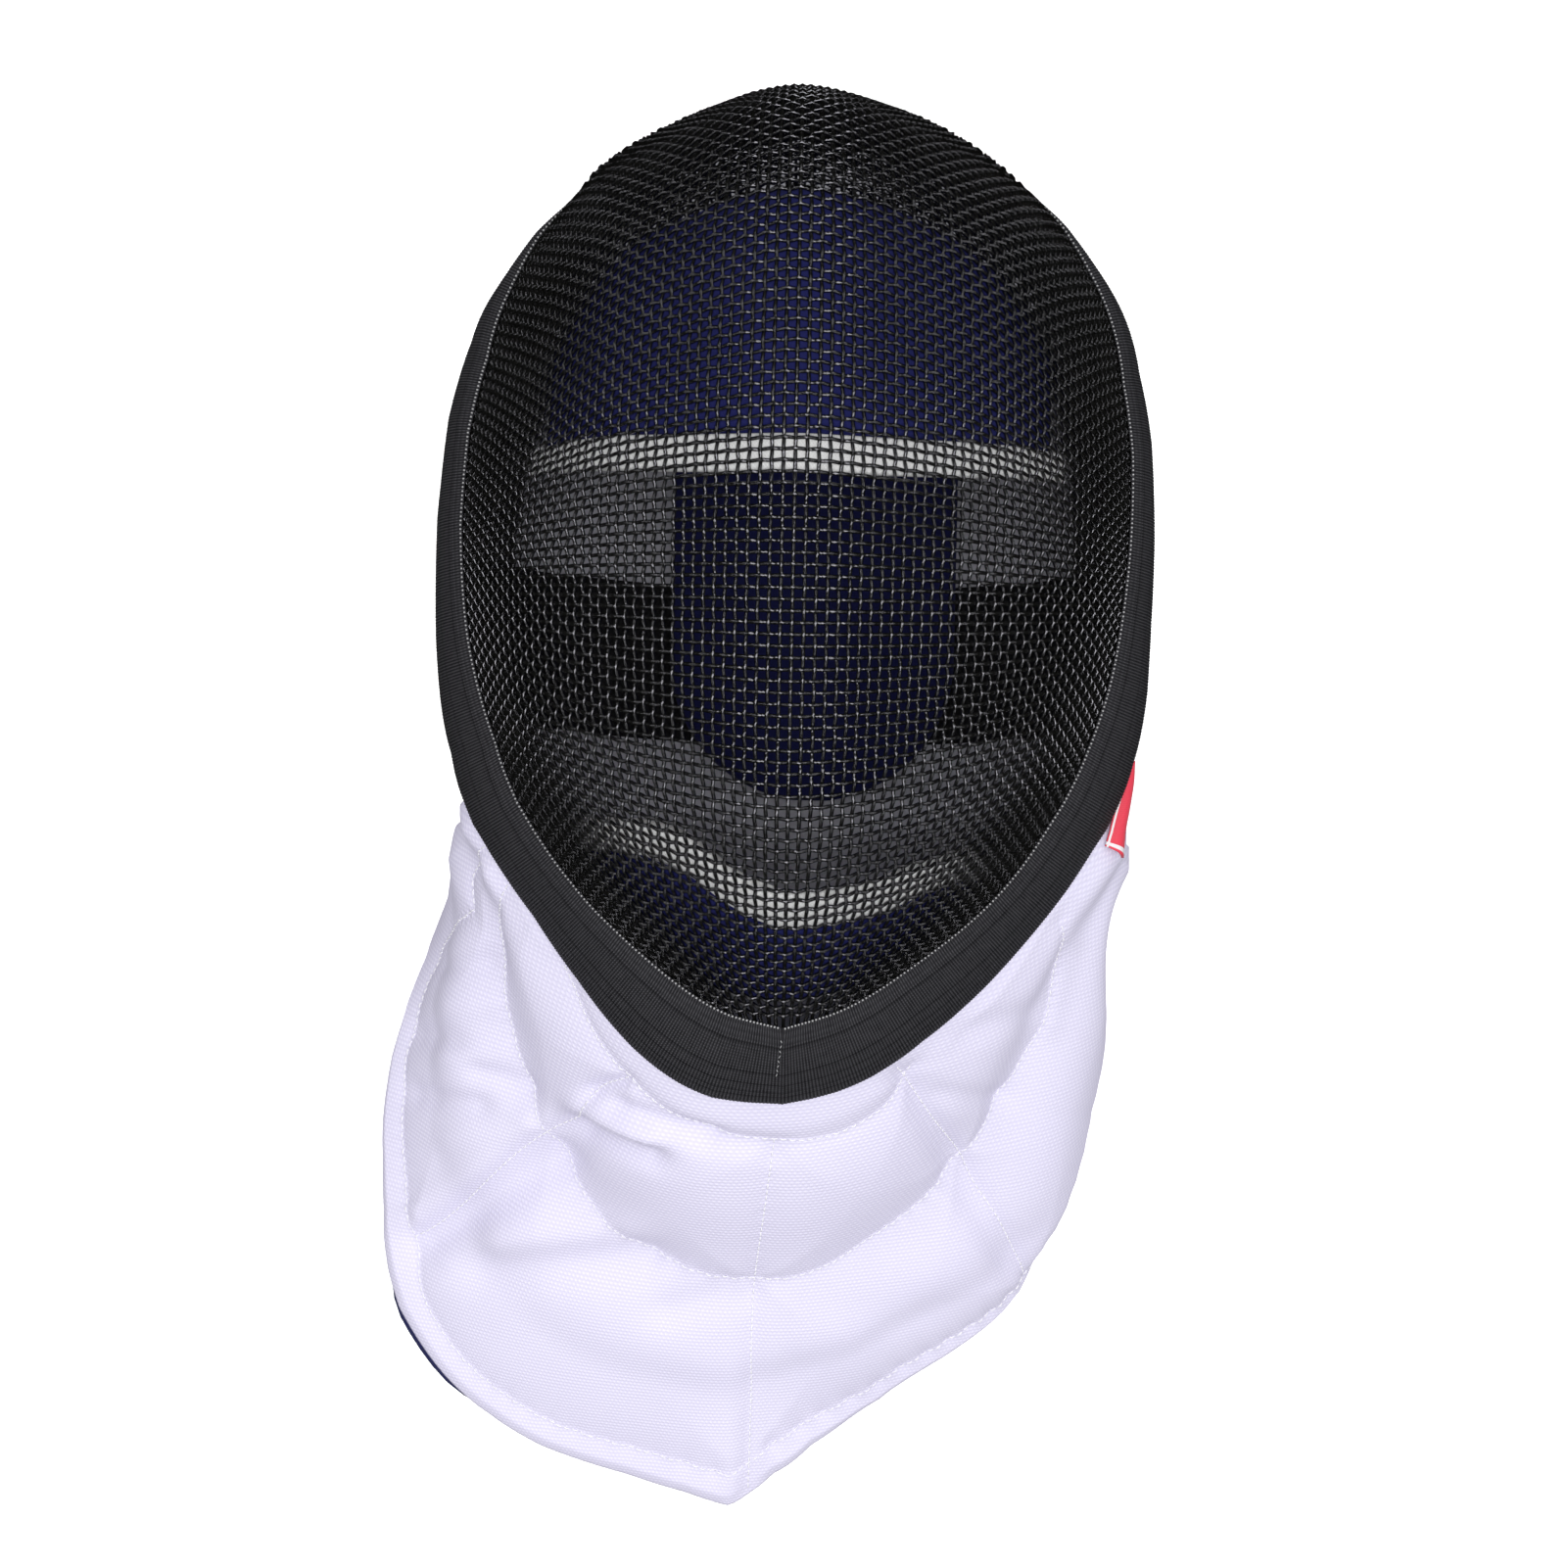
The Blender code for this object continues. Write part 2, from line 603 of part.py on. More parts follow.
def make_strap(material):
    rows = []
    for edge in (-0.5, 0.0, 0.5):
        row = []
        for side in (-1.0, 1.0):
            half = strap_profile(STRAP_END_Y + STRAP_WIDTH * edge, side)
            if side < 0.0:
                half = half[:0:-1]
            row.extend(half)
        widest = max(abs(point[0]) for point in row)
        for point in row:
            dip = 1.0 - min(abs(point[0]) / widest, 1.0) ** 2
            point[1] += (STRAP_MIDDLE_Y - STRAP_END_Y) * dip
        rows.append(row)
    shell("rear_strap", rows, STRAP_THICK, 0.0, material)


# ---------------------------------------------------------------- side tab
def make_side_tab(material):
    keys = column(TAB_STATIONS, TAB_COLUMNS, "station")[::-1]
    free = np.array([row[1:] for row in TAB_STATIONS])[::-1]
    lift = WIRE_LAYER / 2.0 + CLEARANCE + TAB_THICK / 2.0
    bow = np.array([0.0, 0.0, TAB_BOW])
    rows = []
    for station in spaced(keys[0], keys[-1], 6):
        top = band_point(CHIN - station, 1.0, TAB_SEAM, lift)
        fall = smooth(keys, free, station) - top
        rows.append([top + fall * share + bow * math.sin(math.pi * share) for share in spaced(0.0, 1.0, 3)])
    shell("side_tab", rows, TAB_THICK, 0.0, material)


def main():
    clear_scene()
    collection = bpy.data.collections.new("fencing_mask")
    bpy.context.scene.collection.children.link(collection)
    materials = {name: make_material(name) for name in COLOURS}
    make_face_mesh(materials["wire"])
    make_trim(materials["trim"])
    make_back_mesh(materials["wire"])
    make_rear_rim(materials["trim"])
    make_bib(materials["bib_fabric"], materials["navy_fabric"])
    make_forehead(materials["navy_fabric"], materials["white_binding"])
    make_chin(materials["navy_fabric"], materials["white_binding"])
    make_tongue(materials["navy_fabric"])
    make_strap(materials["strap_elastic"])
    make_side_tab(materials["tab_fabric"])


main()
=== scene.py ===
"""Looks of the fencing mask: woven wire, ribbed elastic, quilted bib, pads, strap, tab, light, camera.

Metres. The shape functions follow those of the part's own source, in the mask's own frame, where
the ridge lies in the plane X = 0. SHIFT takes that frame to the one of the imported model. Sizes
differ a little from the part's where the picture asks for it, and out_of_true moves every point
of the finished shapes to the outline of the real mask.
"""
import math

import bpy
import numpy as np
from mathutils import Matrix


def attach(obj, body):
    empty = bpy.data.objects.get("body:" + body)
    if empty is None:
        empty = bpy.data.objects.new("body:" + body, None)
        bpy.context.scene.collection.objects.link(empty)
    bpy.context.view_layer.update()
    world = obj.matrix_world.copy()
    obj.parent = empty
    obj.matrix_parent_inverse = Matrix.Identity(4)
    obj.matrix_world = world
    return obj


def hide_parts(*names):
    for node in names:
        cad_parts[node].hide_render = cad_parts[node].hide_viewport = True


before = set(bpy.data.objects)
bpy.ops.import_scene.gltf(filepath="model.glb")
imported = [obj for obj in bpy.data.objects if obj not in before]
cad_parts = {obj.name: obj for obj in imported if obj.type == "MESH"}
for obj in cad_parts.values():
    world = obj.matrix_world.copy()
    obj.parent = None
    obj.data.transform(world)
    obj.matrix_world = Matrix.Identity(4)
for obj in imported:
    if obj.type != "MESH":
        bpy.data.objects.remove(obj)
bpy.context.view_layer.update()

SHIFT = np.array([0.0101, 0.0083, 0.0])
DOWN = np.array([0.0, 0.0, -1.0])
MM = 0.001

# ---------------------------------------------------------------- sizes shared with the part
CLEARANCE = 0.0004            # between pieces that touch
WIRE_LAYER = 0.0020           # two crossing wires
TRIM_WIDTH = 0.0315
TRIM_THICK = 0.0015
TRIM_BULGE = 0.0020           # the trim stands proud over the rims of both meshes
RIM_RADIUS = 0.0035
BIB_THICK = 0.0050
LINING_THICK = 0.0010
PAD_THICK = 0.0080
BAND_THICK = 0.0050
BAND_WIDTH = 0.0122
STRAP_WIDTH = 0.0500
STRAP_THICK = 0.0016
TONGUE_WIDTH = 0.0895
TONGUE_THICK = 0.0095
TAB_THICK = 0.0010

PIVOT_Y = 0.0600
PIVOT_Z = -0.0200
RIDGE_SLOPE = math.radians(16.0)
STEEPEST = 0.98               # sine of the steepest slope read off an arc
LEAST_TURN = 1e-4             # an arc is never flatter than this, nor a half width less than that
LEAST_WIDTH = 1e-9
SLOPE_STEP = 0.0010           # run over which an arc's slope is measured
NORMAL_STEP = 0.05            # stations over which the outline's direction is measured
PAD_RIDGE = 0.0060            # pads behind the ridge are rounded over this width
FACE_COLUMNS = ("angle", "ridge_radius", "half_width", "chord_slope", "spread", "inset")
FACE_STATIONS = (
    # angle in degrees from +Y, ridge radius, half width, slope of the chord in degrees,
    # how far the trim runs outwards, how far the back wall runs inwards
    (36.4, 0.1812, 0.0000, 16.0, -0.0120, 0.0090),
    (37.1, 0.1830, 0.0175, 16.5, -0.0120, 0.0078),
    (38.7, 0.1868, 0.0330, 19.0, -0.0120, 0.0067),
    (41.6, 0.1929, 0.0550, 26.0, -0.0110, 0.0055),
    (44.5, 0.1974, 0.0672, 30.6, -0.0080, 0.0070),
    (47.7, 0.2015, 0.0788, 32.8, -0.0030, 0.0105),
    (54.6, 0.2060, 0.0908, 36.1, 0.0040, 0.0150),
    (64.5, 0.2104, 0.0966, 39.2, 0.0055, 0.0130),
    (79.2, 0.2133, 0.0976, 41.8, 0.0070, 0.0120),
    (96.4, 0.2160, 0.0942, 42.2, 0.0098, 0.0105),
    (108.7, 0.2181, 0.0864, 41.5, 0.0140, 0.0080),
    (116.4, 0.2155, 0.0742, 38.3, 0.0138, 0.0060),
    (122.2, 0.2116, 0.0592, 33.5, 0.0148, 0.0060),
    (126.2, 0.2086, 0.0360, 27.0, 0.0195, 0.0060),
    (128.2, 0.2071, 0.0178, 21.5, 0.0214, 0.0060),
    (128.8, 0.2065, 0.0000, 20.0, 0.0208, 0.0060),
)
CHIN = len(FACE_STATIONS) - 1  # stations count from the crown, 0, to the chin
CHEEK = CHIN - 4.5            # the back wall ends and the bib starts here
TRIM_START_AT = (0.0, 3.0, 5.5)
TRIM_START = (0.22, 0.22, 0.0)  # share of the band at which the elastic begins, at those stations
EDGE_SAMPLES = 1201
EDGE_EVEN = 0.55              # stations over which the outline's normals are evened out
WALL_FOOT = 2.0 * RIM_RADIUS + CLEARANCE
WALL_BULGE = 0.0035

BIB_COLUMNS = (
    "station",
    "ring_x", "ring_y", "ring_z",
    "skirt_x", "skirt_y", "skirt_z",
    "hem_x", "hem_y", "hem_z",
)
BIB_STATIONS = (
    # station from the chin (left side negative), the quilted ring seam, the skirt, the hem
    (-4.5, -0.0985, -0.0090, 0.0600, -0.1018, -0.0180, 0.0300, -0.1045, -0.0285, 0.0052),
    (-3.8, -0.0905, -0.0300, 0.0760, -0.1050, -0.0430, 0.0350, -0.1120, -0.0540, 0.0052),
    (-3.0, -0.0862, -0.0520, 0.0710, -0.1075, -0.0790, 0.0300, -0.1225, -0.0840, 0.0052),
    (-2.2, -0.0809, -0.0775, 0.0640, -0.1079, -0.1119, 0.0265, -0.1275, -0.1200, 0.0052),
    (-1.5, -0.0716, -0.1036, 0.0595, -0.0986, -0.1414, 0.0268, -0.1225, -0.1600, 0.0052),
    (-0.7, -0.0446, -0.1392, 0.0560, -0.0677, -0.1782, 0.0262, -0.0850, -0.2060, 0.0052),
    (0.0, -0.0060, -0.1526, 0.0552, -0.0060, -0.1921, 0.0277, -0.0063, -0.2275, 0.0052),
    (0.7, 0.0298, -0.1375, 0.0540, 0.0359, -0.1696, 0.0255, 0.0370, -0.1915, 0.0052),
    (1.5, 0.0571, -0.1137, 0.0560, 0.0685, -0.1501, 0.0222, 0.0710, -0.1640, 0.0040),
    (2.2, 0.0686, -0.0920, 0.0595, 0.0899, -0.1296, 0.0180, 0.0850, -0.1350, 0.0012),
    (3.0, 0.0795, -0.0590, 0.0690, 0.1004, -0.0843, 0.0245, 0.0940, -0.0920, 0.0012),
    (3.8, 0.0920, -0.0290, 0.0720, 0.0945, -0.0400, 0.0450, 0.0960, -0.0480, 0.0020),
    (4.5, 0.1005, -0.0130, 0.0620, 0.1015, -0.0190, 0.0300, 0.1020, -0.0250, 0.0040),
)
BIB_LINES = ("ring", "skirt", "hem")
BIB_BULGE = 0.0030
BIB_CORE = np.array([0.0, -0.0200, -0.0200])
BIB_JOINT = 0.012
FLOOR_CLEARANCE = 0.0008

RIDGE_ROUND = 0.008           # the wires round the crease of the ridge off over this run
PAD_DEPTH = 0.0018            # from the middle of the wire layer to a pad's face
BROW_ANGLE = 80.2             # upper edge of the brow band at the ridge, degrees
BROW_RISE = 3.5               # how far its ends lie nearer the crown, degrees
BROW_THIN = 0.08              # share by which the band is lower at the middle
BROW_HALF = 0.0800
FOREHEAD_TOP = 58.0
FOREHEAD_HALF = 0.0765
FOREHEAD_CORNER = 5.0
FOREHEAD_SIDE = 8.0
CHIN_BAND = (
    # upper edge of the chin band across the face: x, angle in degrees
    (-0.067, 115.0),
    (-0.054, 112.8),
    (-0.042, 111.6),
    (-0.030, 111.8),
    (-0.018, 113.8),
    (-0.004, 115.2),
    (0.026, 115.5),
    (0.040, 114.9),
    (0.050, 115.1),
    (0.062, 116.4),
)
CHIN_BAND_HEIGHT = 3.3
CHIN_PAD_END = 127.0
CHIN_PAD_TAPER = 0.30
CHIN_HALF = 0.0610

TONGUE_X = 0.0068
TONGUE_TIP_Y = -0.0056
TONGUE_ROOT_Y = 0.1805
TONGUE_ROOT_Z = 0.0145
TONGUE_ROOT_SHARE = 0.86
TONGUE_REACH = 8.0
TONGUE_ARCH = 0.0060
TONGUE_END_TURN = math.radians(84.0)
STRAP_MIDDLE_Y = 0.0370
STRAP_END_Y = 0.0440
STRAP_Z = 0.0025
STRAP_CORNER = 0.0090
STRAP_TOP_Z = 0.0420
STRAP_LEAN = 0.0200
STRAP_FLAT = 0.85             # share of the half width that runs flat
STRAP_EDGE = 0.35             # share of its thickness that an edge keeps
STRAP_ROUNDING = 0.06
STRAP_RIB = 0.10              # share of its thickness that its ribs stand out

TAB_EDGES = (
    # from the tab's upper end to its lower: seam edge x, y, z, free edge x, y, z
    (0.1000, 0.0098, 0.0862, 0.1012, 0.0086, 0.0832),
    (0.0983, 0.0032, 0.0875, 0.1014, 0.0035, 0.0815),
    (0.0958, -0.0038, 0.0888, 0.1000, -0.0038, 0.0835),
    (0.0933, -0.0113, 0.0908, 0.0980, -0.0119, 0.0860),
    (0.0923, -0.0154, 0.0914, 0.0977, -0.0188, 0.0865),
)
TAB_TUCK = 0.22               # share of its breadth by which the tab runs on under the trim
TAB_SEAM = 0.02
TAB_FREE = 2.5                # row at which it comes free of the trim
TAB_BOW = 0.0012
TAB_FACING = np.array([0.6, 0.0, 1.0])
TAB_HALF = TAB_THICK * 0.4    # half the thickness of the ribbon itself
TAB_THREAD = 0.0006
TAB_LINE_ACROSS = (0.0262, 0.0006)  # place and half width of the pale line near the lower end
TAB_LINE_ALONG = (0.0005, 0.0003)  # and of the one near the trim

# ---------------------------------------------------------------- sizes of the looks alone
WIRE_RADIUS = 0.00058
WIRE_PITCH = 0.0032
WIRE_SIDES = 5
WIRE_START = 0.6              # pitches from the crown to the first wire across
WIRE_TUCK = 0.0030            # length of wire that runs on under the trim
TUCK_POINTS = 6               # points on that length, with the one at the face's edge
WIRE_GATHER = 0.60            # share of the spacing that the down wires keep where the face narrows
SHORTEST_STEP = 0.0003        # closer points on a wire are left out
RIDGE_SAMPLES = 1501
SECTION_SHARES = np.linspace(0.0, 1.0, 41)
CROWN_RINGS = (0.05, 0.15, 0.25)  # shares of the band at which a wire runs along the crown
CROWN_PLACES = np.linspace(-5.0, 5.0, 161)
CROWN_TUCK = 0.05
LOOP_SAMPLES = 500
WALL_SAMPLES = 260
WALL_MIDDLE = 0.3             # share of the wall's height at which its length is measured
BACK_FOOT = RIM_RADIUS * 1.4  # height of the lowest wire of the back
BACK_TOP = 0.7                # share of the trim's width at which its wires end

RIB_PITCH = 0.0009            # cross ribs of the elastic
RIB_HEIGHT = 0.00011
ELASTIC_THREAD = 0.00105      # threads along it
ELASTIC_LINES = (0.0042, 0.0146, 0.0196, 0.0236, 0.0262)  # dark lines, from its inner edge
ELASTIC_LINE = 0.00036        # half the width of one
TRIM_ROWS = np.array([
    0.0, 0.02, 0.05, 0.09, 0.14, 0.22, 0.32, 0.42, 0.52, 0.62, 0.72, 0.80, 0.88, 0.94, 0.98, 1.0,
])
TRIM_UNDERSIDE = np.array([0.97, 0.5, 0.09, 0.0])
TRIM_ROUNDING = 0.05          # share of the trim's width over which an edge rounds off
TRIM_EDGE_SHARE = 0.45        # share of its thickness that an edge keeps
TRIM_WRAP = 0.10              # share of the trim's width that bends over onto the mesh
TRIM_EDGE = 0.00105           # height of its inner edge over the mesh's middle surface
TRIM_EDGE_THICK = 0.0006
TRIM_LAP = 0.0020
RIM_STEP = 0.0018
RIM_SIDES = 16
RIM_RIB = 0.03                # share of the rim's radius that its ribs take off
BEAD_STEP = 6                 # quarter ribs between two loops of the edge thread
BEAD_SIZE = (0.00030, 0.00033, 0.00033)
JOIN_SHARES = np.linspace(0.04, 0.46, 8)  # stitches of the elastic's join at the chin
JOIN_PLACE = CHIN - 0.02
JOIN_SLANT = 0.10
JOIN_LEAN = 0.35
JOIN_LIFT = 0.0001
JOIN_SIZE = (0.0007, 0.00014, 0.00014)
STITCH_LENGTH = 0.0018
STITCH_GAP = 0.0009
STITCH_PLACES = np.array([0.0, 0.15, 0.5, 0.85, 1.0])
STITCH_LIFT = np.array([-0.25, 0.12, 0.26, 0.12, -0.25]) * MM
THREAD_RADIUS = 0.00028
BIB_DOT = 0.00125             # weave of the bib: dots along a row, and rows
BIB_ROW = 0.0014
LINING_STEP = 4               # columns of the bib to one of the lining
LINING_SHOWS = 0.0012         # how far the lining looks out under the hem at the lower left
LINING_SHOWS_AT = (-1.17, 0.38)  # middle and half length of that stretch, stations
CUSHION_CROWN = 0.30          # share of its thickness by which a pad's face sinks at its edge
CUSHION_EDGE = 0.55           # share of its thickness that the edge keeps

# ---------------------------------------------------------------- quilting and folds of the bib
SEAMS = {
    # points as station and level: level 1 is the ring seam, 2 the skirt, 3 the hem
    "collar": (
        (-2.60, 0.10), (-2.04, 0.20), (-1.36, 0.20), (-0.90, 0.20),
        (-0.02, 0.20), (0.60, 0.24), (1.14, 0.22), (1.44, 0.14),
    ),
    "ring": (
        (-3.52, 0.20), (-3.42, 0.60), (-3.34, 0.88), (-2.82, 0.98), (-2.14, 1.00), (-1.66, 0.98),
        (-1.24, 1.03), (-0.68, 1.02), (-0.02, 1.00), (0.40, 1.02), (0.74, 0.99), (1.42, 0.98),
        (1.98, 0.99), (2.46, 1.06), (2.88, 1.10), (3.18, 0.85), (3.34, 0.36),
    ),
    "centre": ((-0.02, 0.20), (-0.02, 1.00), (-0.02, 2.00), (-0.02, 2.96)),
    "left_side": (
        (-1.64, 2.62), (-1.62, 1.84), (-1.44, 1.00), (-1.40, 0.66), (-1.50, 0.40), (-1.44, 0.20),
    ),
    "right_side": (
        (1.28, 0.10), (1.32, 0.20), (1.40, 0.58), (1.48, 0.97),
        (1.50, 1.20), (1.60, 1.54), (1.66, 2.00), (1.70, 2.60),
    ),
    "hem": (
        (-3.68, 1.32), (-3.68, 1.90), (-3.50, 2.42), (-2.94, 2.64), (-2.46, 2.60), (-1.66, 2.60),
        (-1.24, 2.70), (-0.60, 2.70), (0.00, 2.68), (1.00, 2.64), (2.20, 2.64), (3.40, 2.60),
        (4.20, 2.55),
    ),
    "cheek": ((-3.98, 0.10), (-4.02, 0.70), (-3.98, 1.20), (-3.68, 1.32)),
}
SEAM_SAMPLES = 90
STITCH_SAMPLES = 400
FOLD_COLUMNS = ("name", "from_x", "from_y", "to_x", "to_y", "height", "width")
FOLDS = (
    # plan of a ridge (height up) or valley (height down) in the cloth, metres
    ("diagonal_valley", -0.1101, -0.1464, -0.0658, -0.1139, -0.0042, 0.0070),
    ("diagonal_ridge", -0.1125, -0.1383, -0.0734, -0.1045, 0.0024, 0.0060),
    ("chin_valley", -0.0570, -0.1036, -0.0375, -0.1072, -0.0040, 0.0042),
    ("chin_ridge", -0.0582, -0.0961, -0.0382, -0.1017, 0.0030, 0.0040),
    ("chin_fold", -0.0540, -0.0893, -0.0461, -0.0856, -0.0018, 0.0025),
    ("collar_left", -0.0462, -0.0937, -0.0218, -0.1003, -0.0028, 0.0035),
    ("collar_middle", -0.0218, -0.1003, -0.0015, -0.1061, -0.0016, 0.0040),
    ("left_a", -0.1053, -0.0587, -0.0898, -0.0558, -0.0016, 0.0040),
    ("left_b", -0.1124, -0.0812, -0.1003, -0.0808, -0.0018, 0.0042),
    ("left_c", -0.1129, -0.1002, -0.0931, -0.1000, -0.0022, 0.0040),
    ("left_d", -0.0911, -0.0894, -0.0776, -0.0926, -0.0016, 0.0035),
    ("left_e", -0.0994, -0.0697, -0.0880, -0.0682, 0.0012, 0.0045),
    ("left_f", -0.0997, -0.0854, -0.0856, -0.0830, 0.0012, 0.0045),
    ("left_g", -0.0999, -0.1124, -0.0777, -0.1041, 0.0014, 0.0050),
    ("skirt_low", -0.0907, -0.1534, -0.0421, -0.1450, -0.0028, 0.0075),
    ("skirt_high", -0.0841, -0.1423, -0.0466, -0.1365, 0.0024, 0.0070),
    ("skirt_middle", -0.0316, -0.1621, -0.0082, -0.1550, -0.0020, 0.0060),
    ("right_a", 0.0539, -0.0717, 0.0690, -0.0668, -0.0014, 0.0045),
    ("right_b", 0.0492, -0.0924, 0.0659, -0.0942, -0.0014, 0.0040),
    ("right_c", 0.0371, -0.0879, 0.0515, -0.1130, -0.0020, 0.0050),
    ("right_d", 0.0563, -0.1217, 0.0727, -0.1500, -0.0018, 0.0055),
    ("right_e", 0.0833, -0.0454, 0.0796, -0.0697, 0.0014, 0.0045),
    ("right_f", 0.0269, -0.1627, 0.0420, -0.1619, -0.0012, 0.0090),
)
PUFF_HEIGHT = 0.0032          # how far the quilting swells between its seams
PUFF_WIDTH = 0.0110
PUFF_CREASE = 1.15
SEAM_DEPTH = 0.0003
SEAM_WIDTH = 0.0022
FOLD_ENDS = 1.4               # a fold runs out over this many of its widths
QUILT_TOP = 0.15              # levels over which the quilting begins below the trim
QUILT_HEM = 0.12              # levels over which its swelling ends above the hem
QUILT_ENDS = 0.25             # stations over which it ends at both cheeks
TUCK_THICK = 0.80             # share of the thickness that the bib has under the trim
HEM_THICK = 0.50              # and at its bound hem
HEM_TAPER = 0.30              # levels over which it thins to the hem
SEAM_CHUNK = 60               # seam points measured at a time
INNER_STEP = 3                # rows of the outer surface to one of the inner
WARP_FROM = 0.6               # the bib is out of true from this level down
BIB_COLUMNS_COUNT = 421
BIB_ROWS_COUNT = 151
BIB_UNROLL = 0.41             # share of a drop that the cloth's own map adds outwards
BIB_TUCK = (0.60, 0.80)       # shares of the trim's width where the bib's edge lies under it

# ---------------------------------------------------------------- how far the real mask is out of true
MASK_MIDDLE = np.array([0.0032, 0.0290])
MASK_REACH = (0.58, 1.00, 1.40)
MASK_WARP = (
    # direction in degrees, radius of the outline, how far it moves outwards, millimetres
    (0, 108.0, 1.5),
    (12, 108.0, 0.9),
    (24, 114.0, 1.0),
    (36, 122.0, 0.7),
    (44, 130.0, -0.8),
    (54, 140.0, 0.7),
    (60, 150.0, 1.4),
    (66, 162.0, 3.4),
    (72, 168.0, 2.5),
    (80, 172.0, 2.0),
    (90, 172.0, 1.2),
    (96, 170.0, 1.4),
    (104, 166.0, 0.2),
    (113, 160.0, 0.9),
    (120, 152.0, -2.8),
    (128, 142.0, -5.4),
    (135, 134.0, -6.5),
    (144, 124.0, -2.9),
    (156, 115.0, -0.7),
    (174, 109.0, 0.0),
    (192, 108.0, -0.5),
    (198, 108.0, 1.2),
    (204, 108.0, 2.5),
    (210, 108.0, 1.9),
    (222, 112.0, 0.4),
    (234, 118.0, 1.1),
    (246, 124.0, 3.3),
    (254, 126.0, 3.9),
    (259, 127.0, 3.9),
    (264, 129.0, 2.4),
    (268, 129.0, 0.9),
    (272, 129.0, 0.7),
    (276, 128.0, 0.2),
    (279, 128.0, -0.5),
    (284, 127.0, -1.6),
    (290, 124.0, -2.3),
    (297, 120.0, -1.5),
    (303, 117.0, -0.6),
    (312, 112.0, 0.4),
    (324, 108.0, 1.9),
    (336, 106.0, 2.8),
    (348, 106.0, 1.2),
)
BIB_MIDDLE = np.array([-0.0140, -0.0895])
BIB_REACH = (0.55, 1.00, 3.00)
BIB_WARP = (
    # direction in degrees, radius of the hem, how far it moves outwards, millimetres
    (90, 150.0, 0.0),
    (150, 108.5, -3.4),
    (160, 106.6, -0.8),
    (170, 108.2, 0.4),
    (180, 112.4, 1.0),
    (192, 117.6, 0.0),
    (204, 124.3, -1.3),
    (210, 129.0, 0.4),
    (217, 133.5, 3.0),
    (228, 136.6, 2.1),
    (236, 135.8, 1.1),
    (244, 134.8, 1.6),
    (256, 133.8, 0.1),
    (264, 135.6, 0.9),
    (270, 136.6, 3.4),
    (276, 126.6, -5.6),
    (282, 118.9, -7.0),
    (288, 114.2, -3.1),
    (294, 111.8, 0.9),
    (306, 110.8, 2.6),
    (316, 111.9, 3.1),
    (324, 110.8, 3.0),
    (331, 110.7, 0.1),
    (340, 111.0, -1.4),
    (354, 111.0, -2.9),
    (370, 112.4, -1.0),
)

FLOOR_REACH = 4.0
# the grey card under the mask is painted shade: a dark sheet for the shaded floor inside the mask
SHADE_CARD_STEP = 0.0060
SHADE_CARD_INSET = 0.0012
SHADE_CARD_HEIGHT = 0.0003

# ---------------------------------------------------------------- camera
IMAGE_SIDE = 1601
FOCAL_PIXELS = 3800.0
CAMERA_HEIGHT = 1.195
CAMERA_X = 0.00886
CAMERA_Y = 0.00827
CAMERA_ROLL = math.radians(1.19)
SENSOR = 36.0

# ---------------------------------------------------------------- lights
# Strips stand in a ring, from the right anticlockwise. OVERHEAD and BACKDROP each give a place,
# a size and watts.
STRIP_DISTANCE = 2.1
STRIP_HEIGHT = 1.7
STRIP_LENGTH = 2.20
STRIP_WIDTHS = (0.15, 0.13, 0.13, 0.12, 0.11, 0.09, 0.09, 0.12)
STRIP_POWER = 28.0            # watts for a square metre
FILL = 0.38
OVERHEAD = ((0.05, -0.15, 3.4), (1.3, 1.3), 58.0)
BACKDROP = ((0.0, 0.0, 3.0), (3.0, 3.0), 115.0)


# ================================================================ shape functions, as in the part
def unit(vectors):
    return vectors / np.maximum(np.linalg.norm(vectors, axis=-1, keepdims=True), 1e-12)


def spaced(low, high, count):
    return [low + (high - low) * index / count for index in range(count + 1)]


def column(table, columns, name):
    return np.array([row[columns.index(name)] for row in table], dtype=float)


def smooth(keys, values, key):
    """Value at key on a smooth curve through the points (keys, values)."""
    last = len(keys) - 1
    here = int(np.clip(np.searchsorted(keys, key, side="right") - 1, 0, last - 1))
    span = keys[here + 1] - keys[here]

    def slope(index):
        low = max(index - 1, 0)
        high = min(index + 1, last)
        return (values[high] - values[low]) / (keys[high] - keys[low])

    share = (key - keys[here]) / span
    start = slope(here) * span
    end = slope(here + 1) * span
    square = share * share
    cube = square * share
    return (
        (2.0 * cube - 3.0 * square + 1.0) * values[here]
        + (cube - 2.0 * square + share) * start
        + (3.0 * square - 2.0 * cube) * values[here + 1]
        + (cube - square) * end
    )


STATION_NUMBERS = np.arange(len(FACE_STATIONS), dtype=float)
FACE = {name: column(FACE_STATIONS, FACE_COLUMNS, name) for name in FACE_COLUMNS}
BIB = {name: column(BIB_STATIONS, BIB_COLUMNS, name) for name in BIB_COLUMNS}


def face_value(name, position):
    return smooth(STATION_NUMBERS, FACE[name], position)


def chord_turn(slope):
    """Slope of a chord in radians, from degrees."""
    return max(math.radians(slope), RIDGE_SLOPE + LEAST_TURN)


def arc_point(half_width, chord_slope, share):
    """Sideways run and drop of a point on one arc of a cut, share 0 at the ridge, 1 at the trim."""
    slope = chord_turn(chord_slope)
    half_turn = slope - RIDGE_SLOPE
    radius = max(half_width, LEAST_WIDTH) / math.cos(slope) / (2.0 * math.sin(half_turn))
    turn = RIDGE_SLOPE + 2.0 * half_turn * share
    run = radius * (np.sin(turn) - math.sin(RIDGE_SLOPE))
    drop = radius * (math.cos(RIDGE_SLOPE) - np.cos(turn))
    return run, drop + ridge_rounding(half_width, run)


